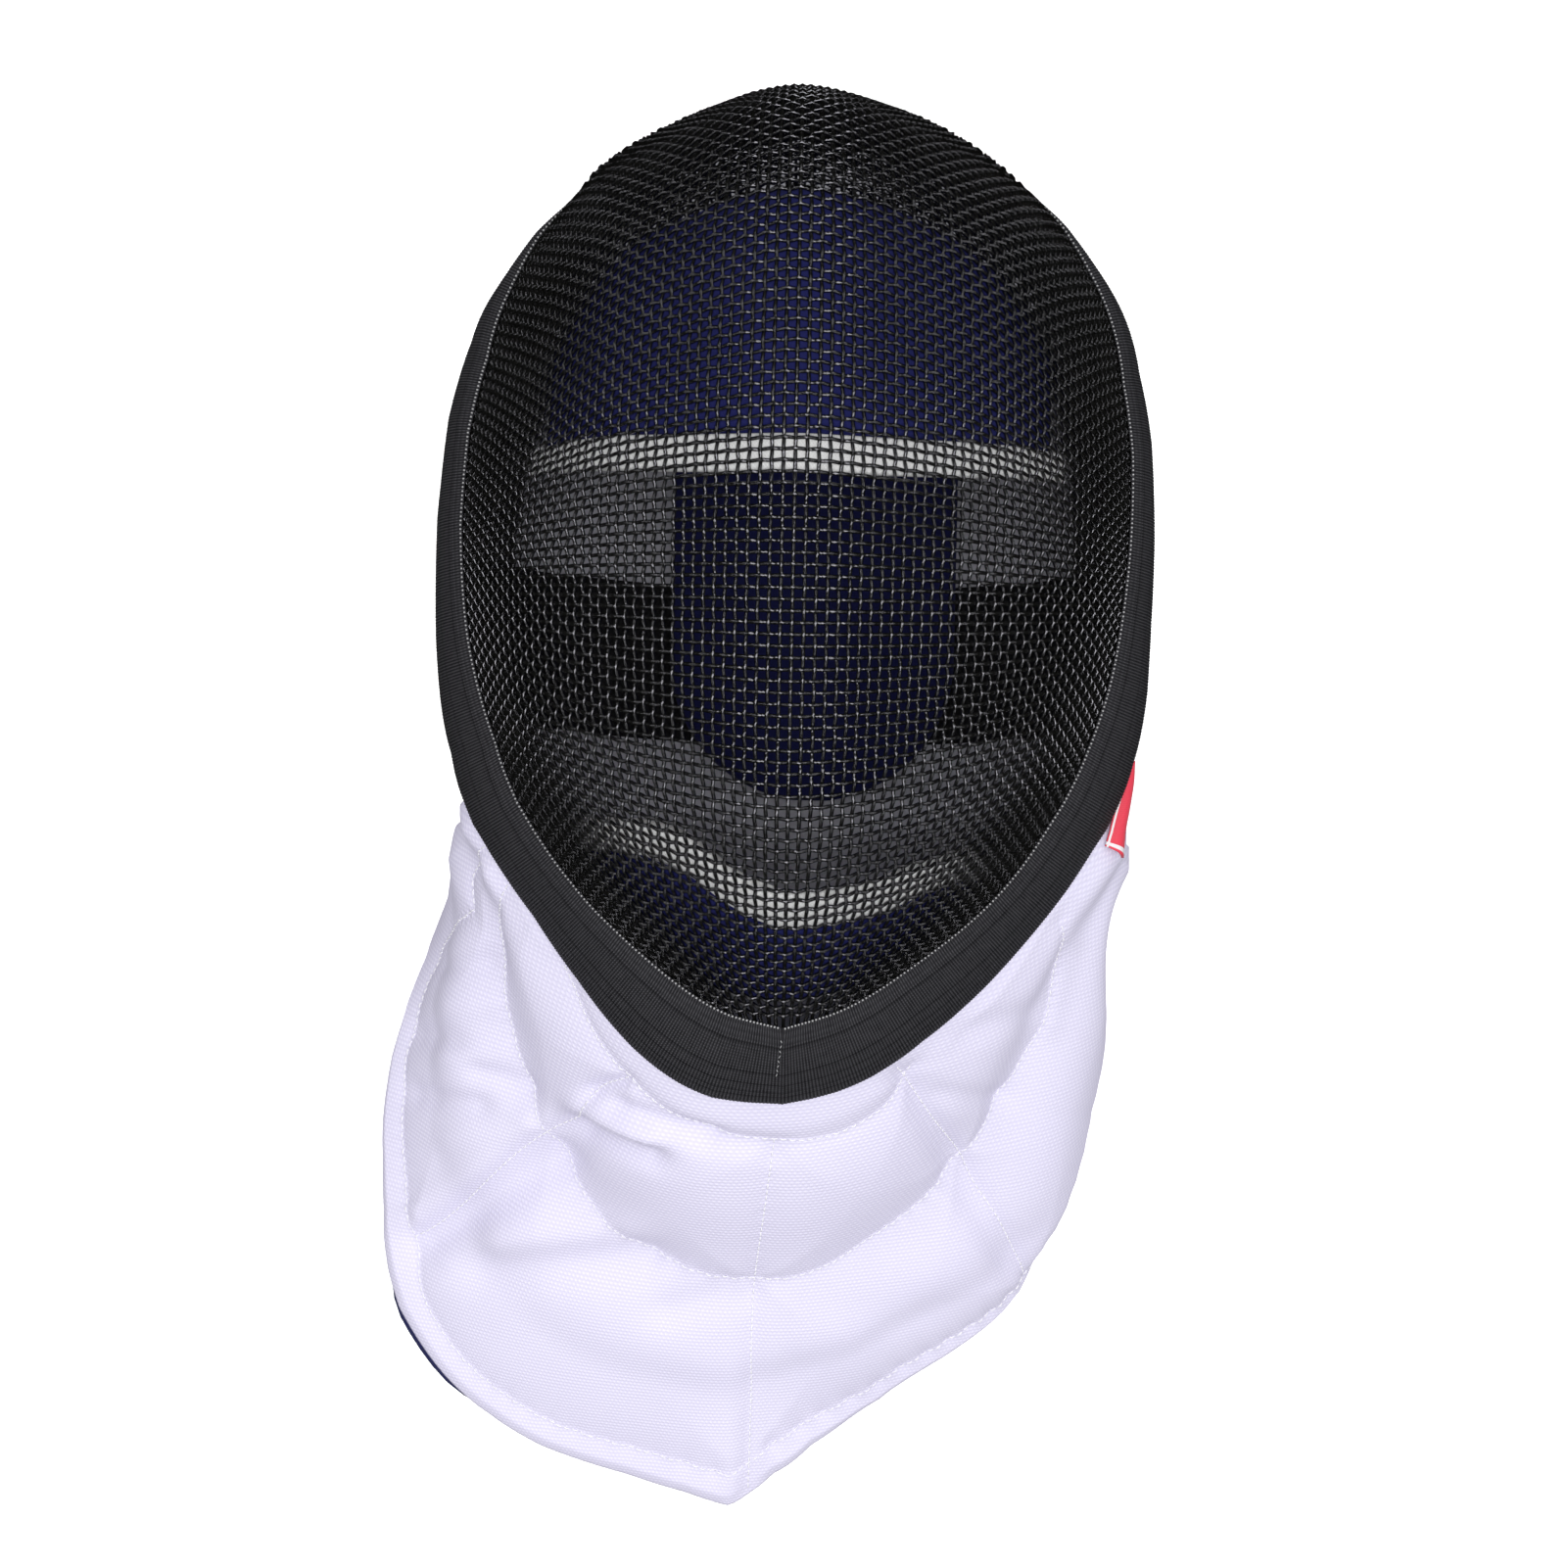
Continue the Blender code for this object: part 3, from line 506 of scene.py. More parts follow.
def arc_drop(half_width, chord_slope, run):
    """Drop of the arc at a sideways run."""
    slope = chord_turn(chord_slope)
    radius = half_width / math.cos(slope) / (2.0 * math.sin(slope - RIDGE_SLOPE))
    turn = math.asin(min(run / radius + math.sin(RIDGE_SLOPE), STEEPEST))
    return radius * (math.cos(RIDGE_SLOPE) - math.cos(turn)) + ridge_rounding(half_width, run)


def ridge_rounding(half_width, run):
    """How far the wires lie under the crease of the ridge, none at the trim."""
    half_width = max(half_width, LEAST_WIDTH)
    here = np.hypot(run, RIDGE_ROUND) - run
    at_trim = np.hypot(half_width, RIDGE_ROUND) - half_width
    return math.tan(RIDGE_SLOPE) * (here - at_trim)


def swing(angle, radius, x):
    """Point or points at a distance from the pivot line, in the cut at an angle in degrees."""
    turn = math.radians(angle)
    return np.stack([x, PIVOT_Y + radius * math.cos(turn), PIVOT_Z + radius * math.sin(turn)], axis=-1)


def face_point(position, share):
    """Point or points on the wire face; share runs from -1, left trim, to 1, right trim."""
    half_width = max(face_value("half_width", position), 0.0)
    run, drop = arc_point(half_width, face_value("chord_slope", position), np.abs(share))
    radius = face_value("ridge_radius", position) - drop
    return swing(face_value("angle", position), radius, np.copysign(run, share))


def face_at(angle, x, depth):
    """Point a depth behind the wire face, at a cut's angle in degrees and a sideways place."""
    position = np.interp(angle, FACE["angle"], STATION_NUMBERS)
    values = (face_value("half_width", position), face_value("chord_slope", position))
    drop = arc_drop(*values, abs(x))
    radius = face_value("ridge_radius", position) - drop
    slope = (arc_drop(*values, abs(x) + SLOPE_STEP) - drop) / SLOPE_STEP
    down = 1.0 / math.hypot(1.0, slope)
    inward = slope * down * math.tanh(abs(x) / PAD_RIDGE)
    return swing(angle, radius - depth * down, x - math.copysign(depth * inward, x))


def plan_normal(position, side):
    """Unit vector in plan, straight out of the mask's outline."""
    if position <= 0.0:
        return np.array([0.0, 1.0, 0.0])
    if position >= CHIN:
        return np.array([0.0, -1.0, 0.0])
    ahead = face_point(min(position + NORMAL_STEP, CHIN), side)
    behind = face_point(max(position - NORMAL_STEP, 0.0), side)
    along = ahead - behind
    return unit(np.array([-along[1] * side, along[0] * side, 0.0]))


def rolled(value):
    """Station and side of a place that runs from the crown down the left side and back up the right."""
    return (value, -1.0) if value <= CHIN else (2.0 * CHIN - value, 1.0)


def edge_normals():
    """Plan normals right round the mask, from the crown down the left side and back up the right.

    They are evened out along the edge, so that the trim turns the chin and the crown in a curve.
    """
    turned = np.linspace(0.0, 2.0 * CHIN, EDGE_SAMPLES)
    normals = np.array([plan_normal(*rolled(value)) for value in turned])
    reach = int(3.0 * EDGE_EVEN / turned[1])
    weights = np.exp(-0.5 * (np.arange(-reach, reach + 1) * turned[1] / EDGE_EVEN) ** 2)
    longer = np.vstack([normals[-reach - 1 : -1], normals, normals[1 : reach + 1]])
    evened = [np.convolve(longer[:, axis], weights, mode="valid") for axis in range(3)]
    return turned, unit(np.stack(evened, axis=1))


EDGE_PLACES, EDGE_NORMALS = edge_normals()


def outward_normal(position, side):
    """Evened unit vector in plan, out of the mask's outline."""
    turned = position if side < 0.0 else 2.0 * CHIN - position
    return unit(np.array([np.interp(turned, EDGE_PLACES, EDGE_NORMALS[:, axis]) for axis in range(3)]))


def face_normal(position, side):
    """Normal of the wire face at its edge."""
    tilt = 2.0 * chord_turn(face_value("chord_slope", position)) - RIDGE_SLOPE
    turn = math.radians(face_value("angle", position))
    up = math.cos(tilt)
    return np.array([side * math.sin(tilt), up * math.cos(turn), up * math.sin(turn)])


def trim_start(position):
    """Share of the band at which the elastic begins: at the crown it sits behind the mesh."""
    return float(np.interp(position, TRIM_START_AT, TRIM_START))


def band_frame(position, side):
    """Face edge of the band under the trim, the step across it and its normal."""
    spread = face_value("spread", position)
    fall = math.sqrt(TRIM_WIDTH**2 - spread**2)
    outward = outward_normal(position, side)
    across = outward * spread + DOWN * fall
    return face_point(position, side), across, unit(outward * fall - DOWN * spread)


def band_points(position, side, shares, lift=0.0):
    """Points across the band; share 0 is its face edge, 1 its outer edge."""
    edge, across, normal = band_frame(position, side)
    shares = np.atleast_1d(np.asarray(shares, dtype=float))[:, None]
    lift = np.atleast_1d(np.asarray(lift, dtype=float))[:, None]
    return edge + across * shares + normal * (TRIM_BULGE * np.sin(np.pi * shares) + lift)


def band_point(position, side, share, lift=0.0):
    return band_points(position, side, share, lift)[0]


def wall_foot(position, side):
    """Where the back wall's middle meets the rear rim, in plan."""
    inset = outward_normal(position, side) * face_value("inset", position)
    foot = band_point(position, side, 1.0) - inset
    foot[2] = WALL_FOOT
    return foot


def wall_points(position, side, shares, depth=0.0):
    """Points on the back wall; share 0 is the trim's outer edge, 1 the rear rim."""
    top = band_point(position, side, 1.0)
    foot = wall_foot(position, side)
    outward = outward_normal(position, side)
    shares = np.atleast_1d(np.asarray(shares, dtype=float))[:, None]
    return top + (foot - top) * shares + outward * (WALL_BULGE * np.sin(np.pi * shares) - depth)


def wall_point(position, side, share, depth=0.0):
    return wall_points(position, side, share, depth)[0]


def bib_line(line, station):
    return np.array([smooth(BIB["station"], BIB[f"{line}_{axis}"], station) for axis in "xyz"])


def bib_profile(station, levels):
    """Outer surface of the bib from under the trim down to the hem, at a station from the chin."""
    side = -1.0 if station < 0.0 else 1.0
    position = CHIN - abs(station)
    lift = WIRE_LAYER / 2.0 - CLEARANCE * 2.0
    tucked = list(band_points(position, side, BIB_TUCK, lift))
    top = band_point(position, side, 1.0, lift)
    knots = np.array([top] + [bib_line(line, station) for line in BIB_LINES])
    away = unit(knots.mean(axis=0) - BIB_CORE)
    places = np.arange(len(knots), dtype=float)
    lower = []
    for level in levels:
        point = smooth(places, knots, level)
        lower.append(point + away * BIB_BULGE * math.sin(math.pi * level) ** 2 * (level < 2.0))
    return tucked + lower


def brow_edge(x):
    return BROW_ANGLE - BROW_RISE * (x / BROW_HALF) ** 2


def brow_height(x):
    thin = 1.0 - BROW_THIN * (1.0 - min(abs(x) / BROW_HALF, 1.0))
    return math.degrees(BAND_WIDTH * thin / FACE["ridge_radius"].max())


def forehead_top(x):
    rounding = (abs(x) / FOREHEAD_HALF) ** FOREHEAD_CORNER
    return FOREHEAD_TOP + (brow_edge(x) - FOREHEAD_SIDE - FOREHEAD_TOP) * rounding


def chin_edge(x):
    keys, angles = np.array(CHIN_BAND).T
    return smooth(keys, angles, x)


# ================================================================ the real mask's own outline
def warp(points, middle, reach, table):
    """Moves points outwards in plan by the table's amounts, most at its outline."""
    turn, radius, shift = np.array(table, dtype=float).T
    offset = points[..., :2] - middle
    distance = np.maximum(np.linalg.norm(offset, axis=-1), 1e-9)
    here = np.degrees(np.arctan2(offset[..., 1], offset[..., 0]))
    share = distance / (np.interp(here, turn, radius, period=360.0) * MM)
    low, full, high = reach
    rise = np.clip((share - low) / (full - low), 0.0, 1.0)
    fade = np.clip((high - share) / (high - full), 0.0, 1.0)
    weight = np.minimum(rise * rise * (3.0 - 2.0 * rise), fade)
    move = weight * np.interp(here, turn, shift, period=360.0) * MM / distance
    moved = points.copy()
    moved[..., :2] += offset * move[..., None]
    return moved


def out_of_true(points):
    return warp(points, MASK_MIDDLE, MASK_REACH, MASK_WARP)


# ================================================================ meshes
def add_object(name, vertices, faces, material):
    mesh = bpy.data.meshes.new(name)
    mesh.from_pydata((out_of_true(np.asarray(vertices)) + SHIFT).tolist(), [], faces)
    mesh.materials.append(material)
    mesh.shade_smooth()
    mesh.update()
    piece = bpy.data.objects.new(name, mesh)
    bpy.context.scene.collection.objects.link(piece)
    return piece


def grid_faces(rows, columns, loop=False, ring=False):
    """Quads of a grid of rows by columns; loop joins the last row to the first, ring the columns."""
    index = np.arange(rows * columns).reshape(rows, columns)
    if loop:
        index = np.vstack([index, index[:1]])
    if ring:
        index = np.hstack([index, index[:, :1]])
    quads = np.stack([index[:-1, :-1], index[:-1, 1:], index[1:, 1:], index[1:, :-1]], axis=-1)
    return quads.reshape(-1, 4).tolist()


def closed_faces(rows, count):
    """Faces of a row of closed rings, count points each, with both ends filled."""
    last = (rows - 1) * count
    ends = [list(range(count))[::-1], list(range(last, last + count))]
    return grid_faces(rows, count, ring=True) + ends


def add_uv(piece, grid):
    """Map named cloth, in metres, from a grid with a pair of numbers for each vertex."""
    mesh = piece.data
    layer = mesh.uv_layers.new(name="cloth")
    corner = np.empty(len(mesh.loops), dtype=np.int32)
    mesh.loops.foreach_get("vertex_index", corner)
    coordinates = np.asarray(grid, dtype=np.float32).reshape(-1, 2)
    layer.uv.foreach_set("vector", coordinates[corner].ravel())


def closed_object(name, section, material, uv=None):
    """A closed form from a grid of points, each row of it one ring."""
    rows, count = section.shape[:2]
    piece = add_object(name, section.reshape(-1, 3), closed_faces(rows, count), material)
    if uv is not None:
        add_uv(piece, uv)
    return piece


def grid_normals(grid, outside):
    """Unit normals of a grid of points, on the side of the reference vectors."""
    normals = unit(np.cross(np.gradient(grid, axis=0), np.gradient(grid, axis=1)))
    flip = np.sign((normals * outside).sum(axis=-1, keepdims=True))
    return normals * np.where(flip == 0.0, 1.0, flip)


def tube(points, normals, radius, sides):
    """Vertices round a path, and the faces between them."""
    along = unit(np.gradient(points, axis=0))
    across = unit(np.cross(along, normals))
    up = np.cross(across, along)
    turns = np.arange(sides) * 2.0 * math.pi / sides
    ring = up[:, None] * np.cos(turns)[:, None] + across[:, None] * np.sin(turns)[:, None]
    vertices = points[:, None] + ring * radius
    return vertices.reshape(-1, 3), closed_faces(len(points), sides)


def join(parts):
    """One list of vertices and one of faces from several."""
    vertices = []
    faces = []
    start = 0
    for points, quads in parts:
        vertices.append(points)
        faces.extend([[index + start for index in face] for face in quads])
        start += len(points)
    return np.vstack(vertices), faces


def lengths_along(points):
    steps = np.linalg.norm(np.diff(points, axis=0), axis=1)
    return np.concatenate([[0.0], np.cumsum(steps)])


def interpolate(places, keys, points):
    return np.stack([np.interp(places, keys, values) for values in points.T], axis=1)


def add_joined(name, parts, material, slot, *nodes):
    """One object from many small tubes or balls."""
    finish_piece(add_object(name, *join(parts), material), slot, *nodes)


def finish_piece(piece, slot, *nodes):
    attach(piece, "root")
    if nodes:
        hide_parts(*nodes)


# ================================================================ materials
def shader_of(material):
    return material.node_tree.nodes["Principled BSDF"]


def new_material(name, colour, roughness, **sockets):
    material = bpy.data.materials.new(name)
    material.use_nodes = True
    shader = shader_of(material)
    shader.inputs["Base Color"].default_value = (*colour, 1.0)
    shader.inputs["Roughness"].default_value = roughness
    for socket, value in sockets.items():
        shader.inputs[socket.replace("_", " ")].default_value = value
    return material


def add_node(material, kind, **inputs):
    node = material.node_tree.nodes.new(kind)
    for name, value in inputs.items():
        put(material, node.inputs[name.replace("_", " ")], value)
    return node


def put(material, socket, value):
    """Links a node's output to a socket, or sets it to a number."""
    if isinstance(value, bpy.types.NodeSocket):
        material.node_tree.links.new(value, socket)
    else:
        socket.default_value = value


def sum_of(material, operation, first, second=0.0, third=0.0):
    node = material.node_tree.nodes.new("ShaderNodeMath")
    node.operation = operation
    for socket, value in zip(node.inputs, (first, second, third)):
        put(material, socket, value)
    return node.outputs[0]


def cloth_axes(material):
    """The two coordinates of the map named cloth, in metres."""
    source = material.node_tree.nodes.new("ShaderNodeUVMap")
    source.uv_map = "cloth"
    apart = add_node(material, "ShaderNodeSeparateXYZ", Vector=source.outputs["UV"])
    return apart.outputs["X"], apart.outputs["Y"]


def wave(material, place, pitch, phase=0.0):
    """Sine of a place in metres, with a period of pitch."""
    turn = sum_of(material, "MULTIPLY_ADD", place, 2.0 * math.pi / pitch, phase)
    return sum_of(material, "SINE", turn)


def noise(material, scale, detail=2.0):
    place = add_node(material, "ShaderNodeTexCoord").outputs["Object"]
    source = add_node(material, "ShaderNodeTexNoise", Vector=place, Scale=scale, Detail=detail)
    return source.outputs["Fac"]


def colour_by(material, factor, dark, light):
    """Colours the surface from dark to light by a factor from 0 to 1."""
    ramp = add_node(material, "ShaderNodeValToRGB", Fac=factor)
    ramp.color_ramp.elements[0].color = (*dark, 1.0)
    ramp.color_ramp.elements[1].color = (*light, 1.0)
    put(material, shader_of(material).inputs["Base Color"], ramp.outputs["Color"])


def use_bump(material, height, distance, strength):
    bump = add_node(material, "ShaderNodeBump", Height=height, Distance=distance, Strength=strength)
    put(material, shader_of(material).inputs["Normal"], bump.outputs["Normal"])


def half_up(material, value):
    """Takes a number from -1 to 1 to the range 0 to 1."""
    return sum_of(material, "MULTIPLY_ADD", value, 0.5, 0.5)


def weave_height(material, thread_u, thread_v):
    """Height of a plain weave, 0 to 1, from the map named cloth."""
    u, v = cloth_axes(material)
    crossing = sum_of(material, "MULTIPLY", wave(material, u, thread_u), wave(material, v, thread_v))
    return half_up(material, crossing)


def lines_at(material, lines):
    """1 on fine lines in a cloth and 0 between, each line given by its axis, place and half width."""
    found = None
    for axis, place, half in lines:
        away = sum_of(material, "ABSOLUTE", sum_of(material, "SUBTRACT", axis, place))
        line = sum_of(material, "LESS_THAN", away, half)
        found = line if found is None else sum_of(material, "MAXIMUM", found, line)
    return found


def wire_material():
    """Black enamel on the wire, a little uneven."""
    material = new_material("wire_enamel", (0.004, 0.004, 0.004), 0.15, Specular_IOR_Level=1.0)
    shader_of(material).inputs["Specular Tint"].default_value = (0.93, 0.92, 1.0, 1.0)
    colour_by(material, noise(material, 160.0, 4.0), (0.002, 0.002, 0.002), (0.008, 0.008, 0.007))
    use_bump(material, noise(material, 2400.0, 1.0), 0.00002, 0.4)
    return material


def elastic_material():
    """Black ribbed elastic: fine threads across the ribs and a few darker lines along it."""
    material = new_material("elastic", (0.030, 0.030, 0.034), 0.75, Specular_IOR_Level=0.15)
    u, v = cloth_axes(material)
    rib = half_up(material, wave(material, u, RIB_PITCH))
    thread = half_up(material, wave(material, v, ELASTIC_THREAD))
    height = sum_of(material, "MULTIPLY_ADD", rib, thread, sum_of(material, "MULTIPLY", rib, 0.6))
    lines = lines_at(material, [(v, place, ELASTIC_LINE) for place in ELASTIC_LINES])
    worn = sum_of(material, "MULTIPLY", noise(material, 420.0, 4.0), 0.40)
    # painted light and shade: the ribs' crests are coloured lighter and the grooves between them
    # darker, on top of a random worn tone
    light = sum_of(material, "MULTIPLY_ADD", height, 0.65, worn)
    light = sum_of(material, "MULTIPLY", light, sum_of(material, "MULTIPLY_ADD", lines, -0.45, 1.0))
    colour_by(material, light, (0.000, 0.000, 0.001), (0.070, 0.069, 0.077))
    use_bump(material, sum_of(material, "MULTIPLY_ADD", lines, -0.8, height), 0.00024, 0.9)
    return material


def bib_material():
    """Lavender white cloth with a fine textured weave."""
    material = new_material("bib_cloth", (0.745, 0.715, 0.885), 0.80, Specular_IOR_Level=0.2)
    dots = weave_height(material, BIB_DOT, 2.0 * BIB_ROW)
    rows = half_up(material, wave(material, cloth_axes(material)[1], BIB_ROW, -math.pi / 2.0))
    height = sum_of(material, "MULTIPLY_ADD", dots, 0.55, sum_of(material, "MULTIPLY", rows, 0.45))
    wide = sum_of(material, "MULTIPLY", noise(material, 34.0), 0.20)
    # painted light and shade: the raised dots and rows of the weave are coloured lighter and the
    # hollows darker, with a wide random tone added
    light = sum_of(material, "MULTIPLY_ADD", height, 0.80, wide)
    colour_by(material, light, (0.630, 0.600, 0.790), (0.850, 0.825, 0.980))
    use_bump(material, height, 0.00022, 0.8)
    return material


def fleece_material(name, dark, light):
    """Brushed padding fabric."""
    gloss = {"Specular_IOR_Level": 0.15, "Sheen_Weight": 0.04, "Sheen_Roughness": 0.5}
    material = new_material(name, light, 0.95, **gloss)
    fine = noise(material, 900.0, 3.0)
    wide = sum_of(material, "MULTIPLY", noise(material, 45.0), 0.4)
    colour_by(material, sum_of(material, "MULTIPLY_ADD", fine, 0.6, wide), dark, light)
    use_bump(material, fine, 0.0003, 0.5)
    return material


def woven_material(name, middle, specular, pitches, dark, light, bump):
    """Plain woven cloth; bump is the height of its threads and how strongly it is used."""
    material = new_material(name, middle, 0.85, Specular_IOR_Level=specular)
    height = weave_height(material, *pitches)
    # painted light and shade: the threads' tops are coloured lighter and the hollows between them
    # darker, by the weave's height
    colour_by(material, height, dark, light)
    use_bump(material, height, *bump)
    return material


def binding_material():
    grey = (0.80, 0.80, 0.79)
    ramp = ((0.82, 0.82, 0.82), (0.94, 0.94, 0.94))
    return woven_material("binding", grey, 0.2, (0.0012, 0.0012), *ramp, (0.00015, 0.6))


def strap_material():
    black = (0.008, 0.008, 0.009)
    ramp = ((0.004, 0.004, 0.005), (0.012, 0.012, 0.013))
    return woven_material("strap_weave", black, 0.12, (0.0018, 0.0030), *ramp, (0.0002, 0.7))


def tab_material():
    """Plain red ribbon with white lines near its edges."""
    material = new_material("tab_ribbon", (0.82, 0.05, 0.09), 0.45, Sheen_Weight=0.1)
    u, v = cloth_axes(material)
    lines = lines_at(material, ((v, *TAB_LINE_ACROSS), (u, *TAB_LINE_ALONG)))
    colour_by(material, lines, (0.80, 0.045, 0.085), (0.86, 0.83, 0.86))
    use_bump(material, wave(material, v, TAB_THREAD), 0.00006, 0.6)
    return material


def thread_material(name, colour):
    material = new_material(name, colour, 0.6)
    colour_by(material, noise(material, 1500.0), tuple(0.75 * part for part in colour), colour)
    return material


# ================================================================ woven wire
def face_table():
    """Stations close together down the ridge: length along it, half arc length."""
    positions = np.linspace(0.0, CHIN, RIDGE_SAMPLES)
    ridge = [swing(face_value("angle", p), face_value("ridge_radius", p), 0.0) for p in positions]
    reach = []
    for position in positions:
        slope = chord_turn(face_value("chord_slope", position))
        chord = max(face_value("half_width", position), 0.0) / math.cos(slope)
        half_turn = slope - RIDGE_SLOPE
        reach.append(chord * half_turn / math.sin(half_turn))
    return positions, lengths_along(np.array(ridge)), np.array(reach)


def half_section(position, side):
    """Fine points from the ridge to the trim and on under it."""
    under = band_points(position, side, tuck_shares(position)[1:], WIRE_RADIUS)
    return np.vstack([face_point(position, side * SECTION_SHARES), under])


def tuck_shares(position):
    """Shares of the band along which a wire runs on under the elastic."""
    return np.linspace(0.0, trim_start(position) + WIRE_TUCK / TRIM_WIDTH, TUCK_POINTS)


def gathered(reach, widest):
    """Spacing of the down wires where the face reaches this far to each side."""
    return WIRE_PITCH * (WIRE_GATHER + (1.0 - WIRE_GATHER) * reach / widest)


class WovenFace:
    """Cuts through the face in which the wires across lie, and how far the down wires stand apart."""

    def __init__(self):
        positions, ridge_length, reach = face_table()
        count = int((ridge_length[-1] - WIRE_PITCH * 0.5) / WIRE_PITCH)
        places = np.interp((np.arange(count) + WIRE_START) * WIRE_PITCH, ridge_length, positions)
        halves = [(half_section(place, -1.0), half_section(place, 1.0)) for place in places]
        self.sections = np.array([np.vstack([left[:0:-1], right]) for left, right in halves])
        self.normals = grid_normals(self.sections, self.sections - np.array([0.0, PIVOT_Y, PIVOT_Z]))
        self.limits = np.interp(places, positions, reach)
        self.spacing = gathered(self.limits, reach.max())
        self.positions = positions
        self.reach = reach


def weave_path(points, normals, over):
    """Path over and under the crossings, with a point between each two of them."""
    lifted = points + normals * np.where(over, WIRE_RADIUS, -WIRE_RADIUS)[:, None]
    path = np.empty((len(lifted) * 2 - 1, 3))
    path[0::2] = lifted
    path[1::2] = (lifted[:-1] + lifted[1:]) / 2.0
    facing = np.empty_like(path)
    facing[0::2] = normals
    facing[1::2] = (normals[:-1] + normals[1:]) / 2.0
    return path, unit(facing)


def wire(path, normals):
    """One wire along a path, without the points that lie too close together."""
    steps = np.linalg.norm(np.diff(path, axis=0), axis=1)
    keep = np.concatenate([[True], steps > SHORTEST_STEP])
    return tube(path[keep], normals[keep], WIRE_RADIUS, WIRE_SIDES)


def make_face_wires(material):
    face = WovenFace()
    across, crossings = wires_across(face)
    add_joined("face_wires_across", across, material, "wire", "face_mesh")
    add_joined("face_wires_down", wires_down(face, crossings), material, "wire", "face_mesh")
    add_joined("face_wires_crown", crown_wires(), material, "wire", "face_mesh")


def wires_across(face):
    """The wires from side to side, and the place and normal of each crossing by row and number."""
    middle = face.sections.shape[1] // 2
    wires = []
    crossings = {}
    for row, (section, normals) in enumerate(zip(face.sections, face.normals)):
        length = lengths_along(section)
        last = int(face.limits[row] / face.spacing[row])
        numbers = np.arange(-last, last + 1)
        at = numbers * face.spacing[row]
        points = interpolate(at, length - length[middle], section)
        facing = unit(interpolate(at, length - length[middle], normals))
        for number, point, normal in zip(numbers, points, facing):
            crossings[row, int(number)] = (point, normal)
        path, path_normals = weave_path(points, facing, (numbers + row) % 2 == 0)
        path = np.vstack([section[:TUCK_POINTS], path, section[-TUCK_POINTS:]])
        path_normals = np.vstack([normals[:TUCK_POINTS], path_normals, normals[-TUCK_POINTS:]])
        wires.append(wire(path, path_normals))
    return wires, crossings


def wires_down(face, crossings):
    """The wires from crown to chin through the crossings, which end under the trim."""
    spacing = gathered(face.reach, face.reach.max())
    widest = max(number for _, number in crossings)
    wires = []
    for number in range(-widest, widest + 1):
        rows = [row for row in range(len(face.sections)) if (row, number) in crossings]
        if len(rows) < 2:
            continue
        points, facing = (np.array([crossings[row, number][part] for row in rows]) for part in (0, 1))
        path, normals = weave_path(points, facing, (np.array(rows) + number) % 2 == 1)
        inside = face.positions[face.reach - abs(number) * spacing >= 0.0]
        side = -1.0 if number < 0 else 1.0
        start, start_normals = tucked_end(inside[0], side, normals[0])
        end, end_normals = tucked_end(inside[-1], side, normals[-1])
        path = np.vstack([start[::-1], path, end])
        wires.append(wire(path, np.vstack([start_normals[::-1], normals, end_normals])))
    return wires


def crown_wires():
    """The wires along the crown, where the elastic sits behind the mesh."""
    wires = []
    for share in CROWN_RINGS:
        places = [value for value in CROWN_PLACES if trim_start(abs(value)) + CROWN_TUCK > share]
        places = [(abs(value), -1.0 if value < 0.0 else 1.0) for value in places]
        path = [band_point(*place, share, -WIRE_RADIUS) for place in places]
        wires.append(wire(np.array(path), np.array([band_frame(*place)[2] for place in places])))
    return wires


def tucked_end(position, side, normal):
    """Points where a wire passes the face's edge and runs on under the trim, and their normals."""
    under = np.tile(band_frame(position, side)[2], (TUCK_POINTS - 1, 1))
    points = band_points(position, side, tuck_shares(position), WIRE_RADIUS)
    return points, np.vstack([normal, under])


def wall_loop(step):
    """Stations round the back wall from the left cheek over the crown to the right, even in length."""
    reach = CHEEK - BIB_JOINT
    fine = [(position, -1.0) for position in np.linspace(reach, 0.0, WALL_SAMPLES)]
    fine += [(position, 1.0) for position in np.linspace(0.0, reach, WALL_SAMPLES)[1:]]
    length = lengths_along(np.array([wall_point(*place, WALL_MIDDLE) for place in fine]))
    signed = np.array([position * side for position, side in fine])
    count = int(length[-1] / step)
    at = (np.arange(count) + 0.5) * length[-1] / count
    return [(abs(value), math.copysign(1.0, value)) for value in np.interp(at, length, signed)]


def wall_at_heights(position, side, heights):
    """Points on the back wall, and on the band above it, at these heights."""
    top = band_point(position, side, 1.0)
    share = (top[2] - heights) / (top[2] - WALL_FOOT)
    below = wall_points(position, side, np.maximum(share, 0.0))
    fall = -band_frame(position, side)[1][2]
    above = band_points(position, side, 1.0 - np.maximum(heights - top[2], 0.0) / fall)
    return np.where((heights > top[2])[:, None], above, below)


def make_back_wires(material):
    columns = wall_loop(WIRE_PITCH)
    tops = np.array([band_point(*place, BACK_TOP)[2] for place in columns])
    heights = np.arange(BACK_FOOT, tops.max(), WIRE_PITCH)
    grid = np.array([wall_at_heights(*place, heights) for place in columns])
    outward = np.array([outward_normal(*place) for place in columns])
    normals = grid_normals(grid, outward[:, None, :])
    inside = heights[None, :] <= tops[:, None]
    around = []
    for row in range(len(heights)):
        for run in runs_of(inside[:, row]):
            if len(run) > 2:
                path = weave_path(grid[run, row], normals[run, row], (run + row) % 2 == 0)
                around.append(wire(*path))
    add_joined("back_wires_around", around, material, "wire", "back_mesh")
    upright = []
    for index, reached in enumerate(inside):
        rows = np.nonzero(reached)[0]
        path = weave_path(grid[index, rows], normals[index, rows], (rows + index) % 2 == 1)
        upright.append(wire(*path))
    add_joined("back_wires_upright", upright, material, "wire", "back_mesh")


def runs_of(flags):
    """Stretches of following numbers where the flags are true."""
    places = np.nonzero(flags)[0]
    if len(places) == 0:
        return []
    return np.split(places, np.nonzero(np.diff(places) > 1)[0] + 1)


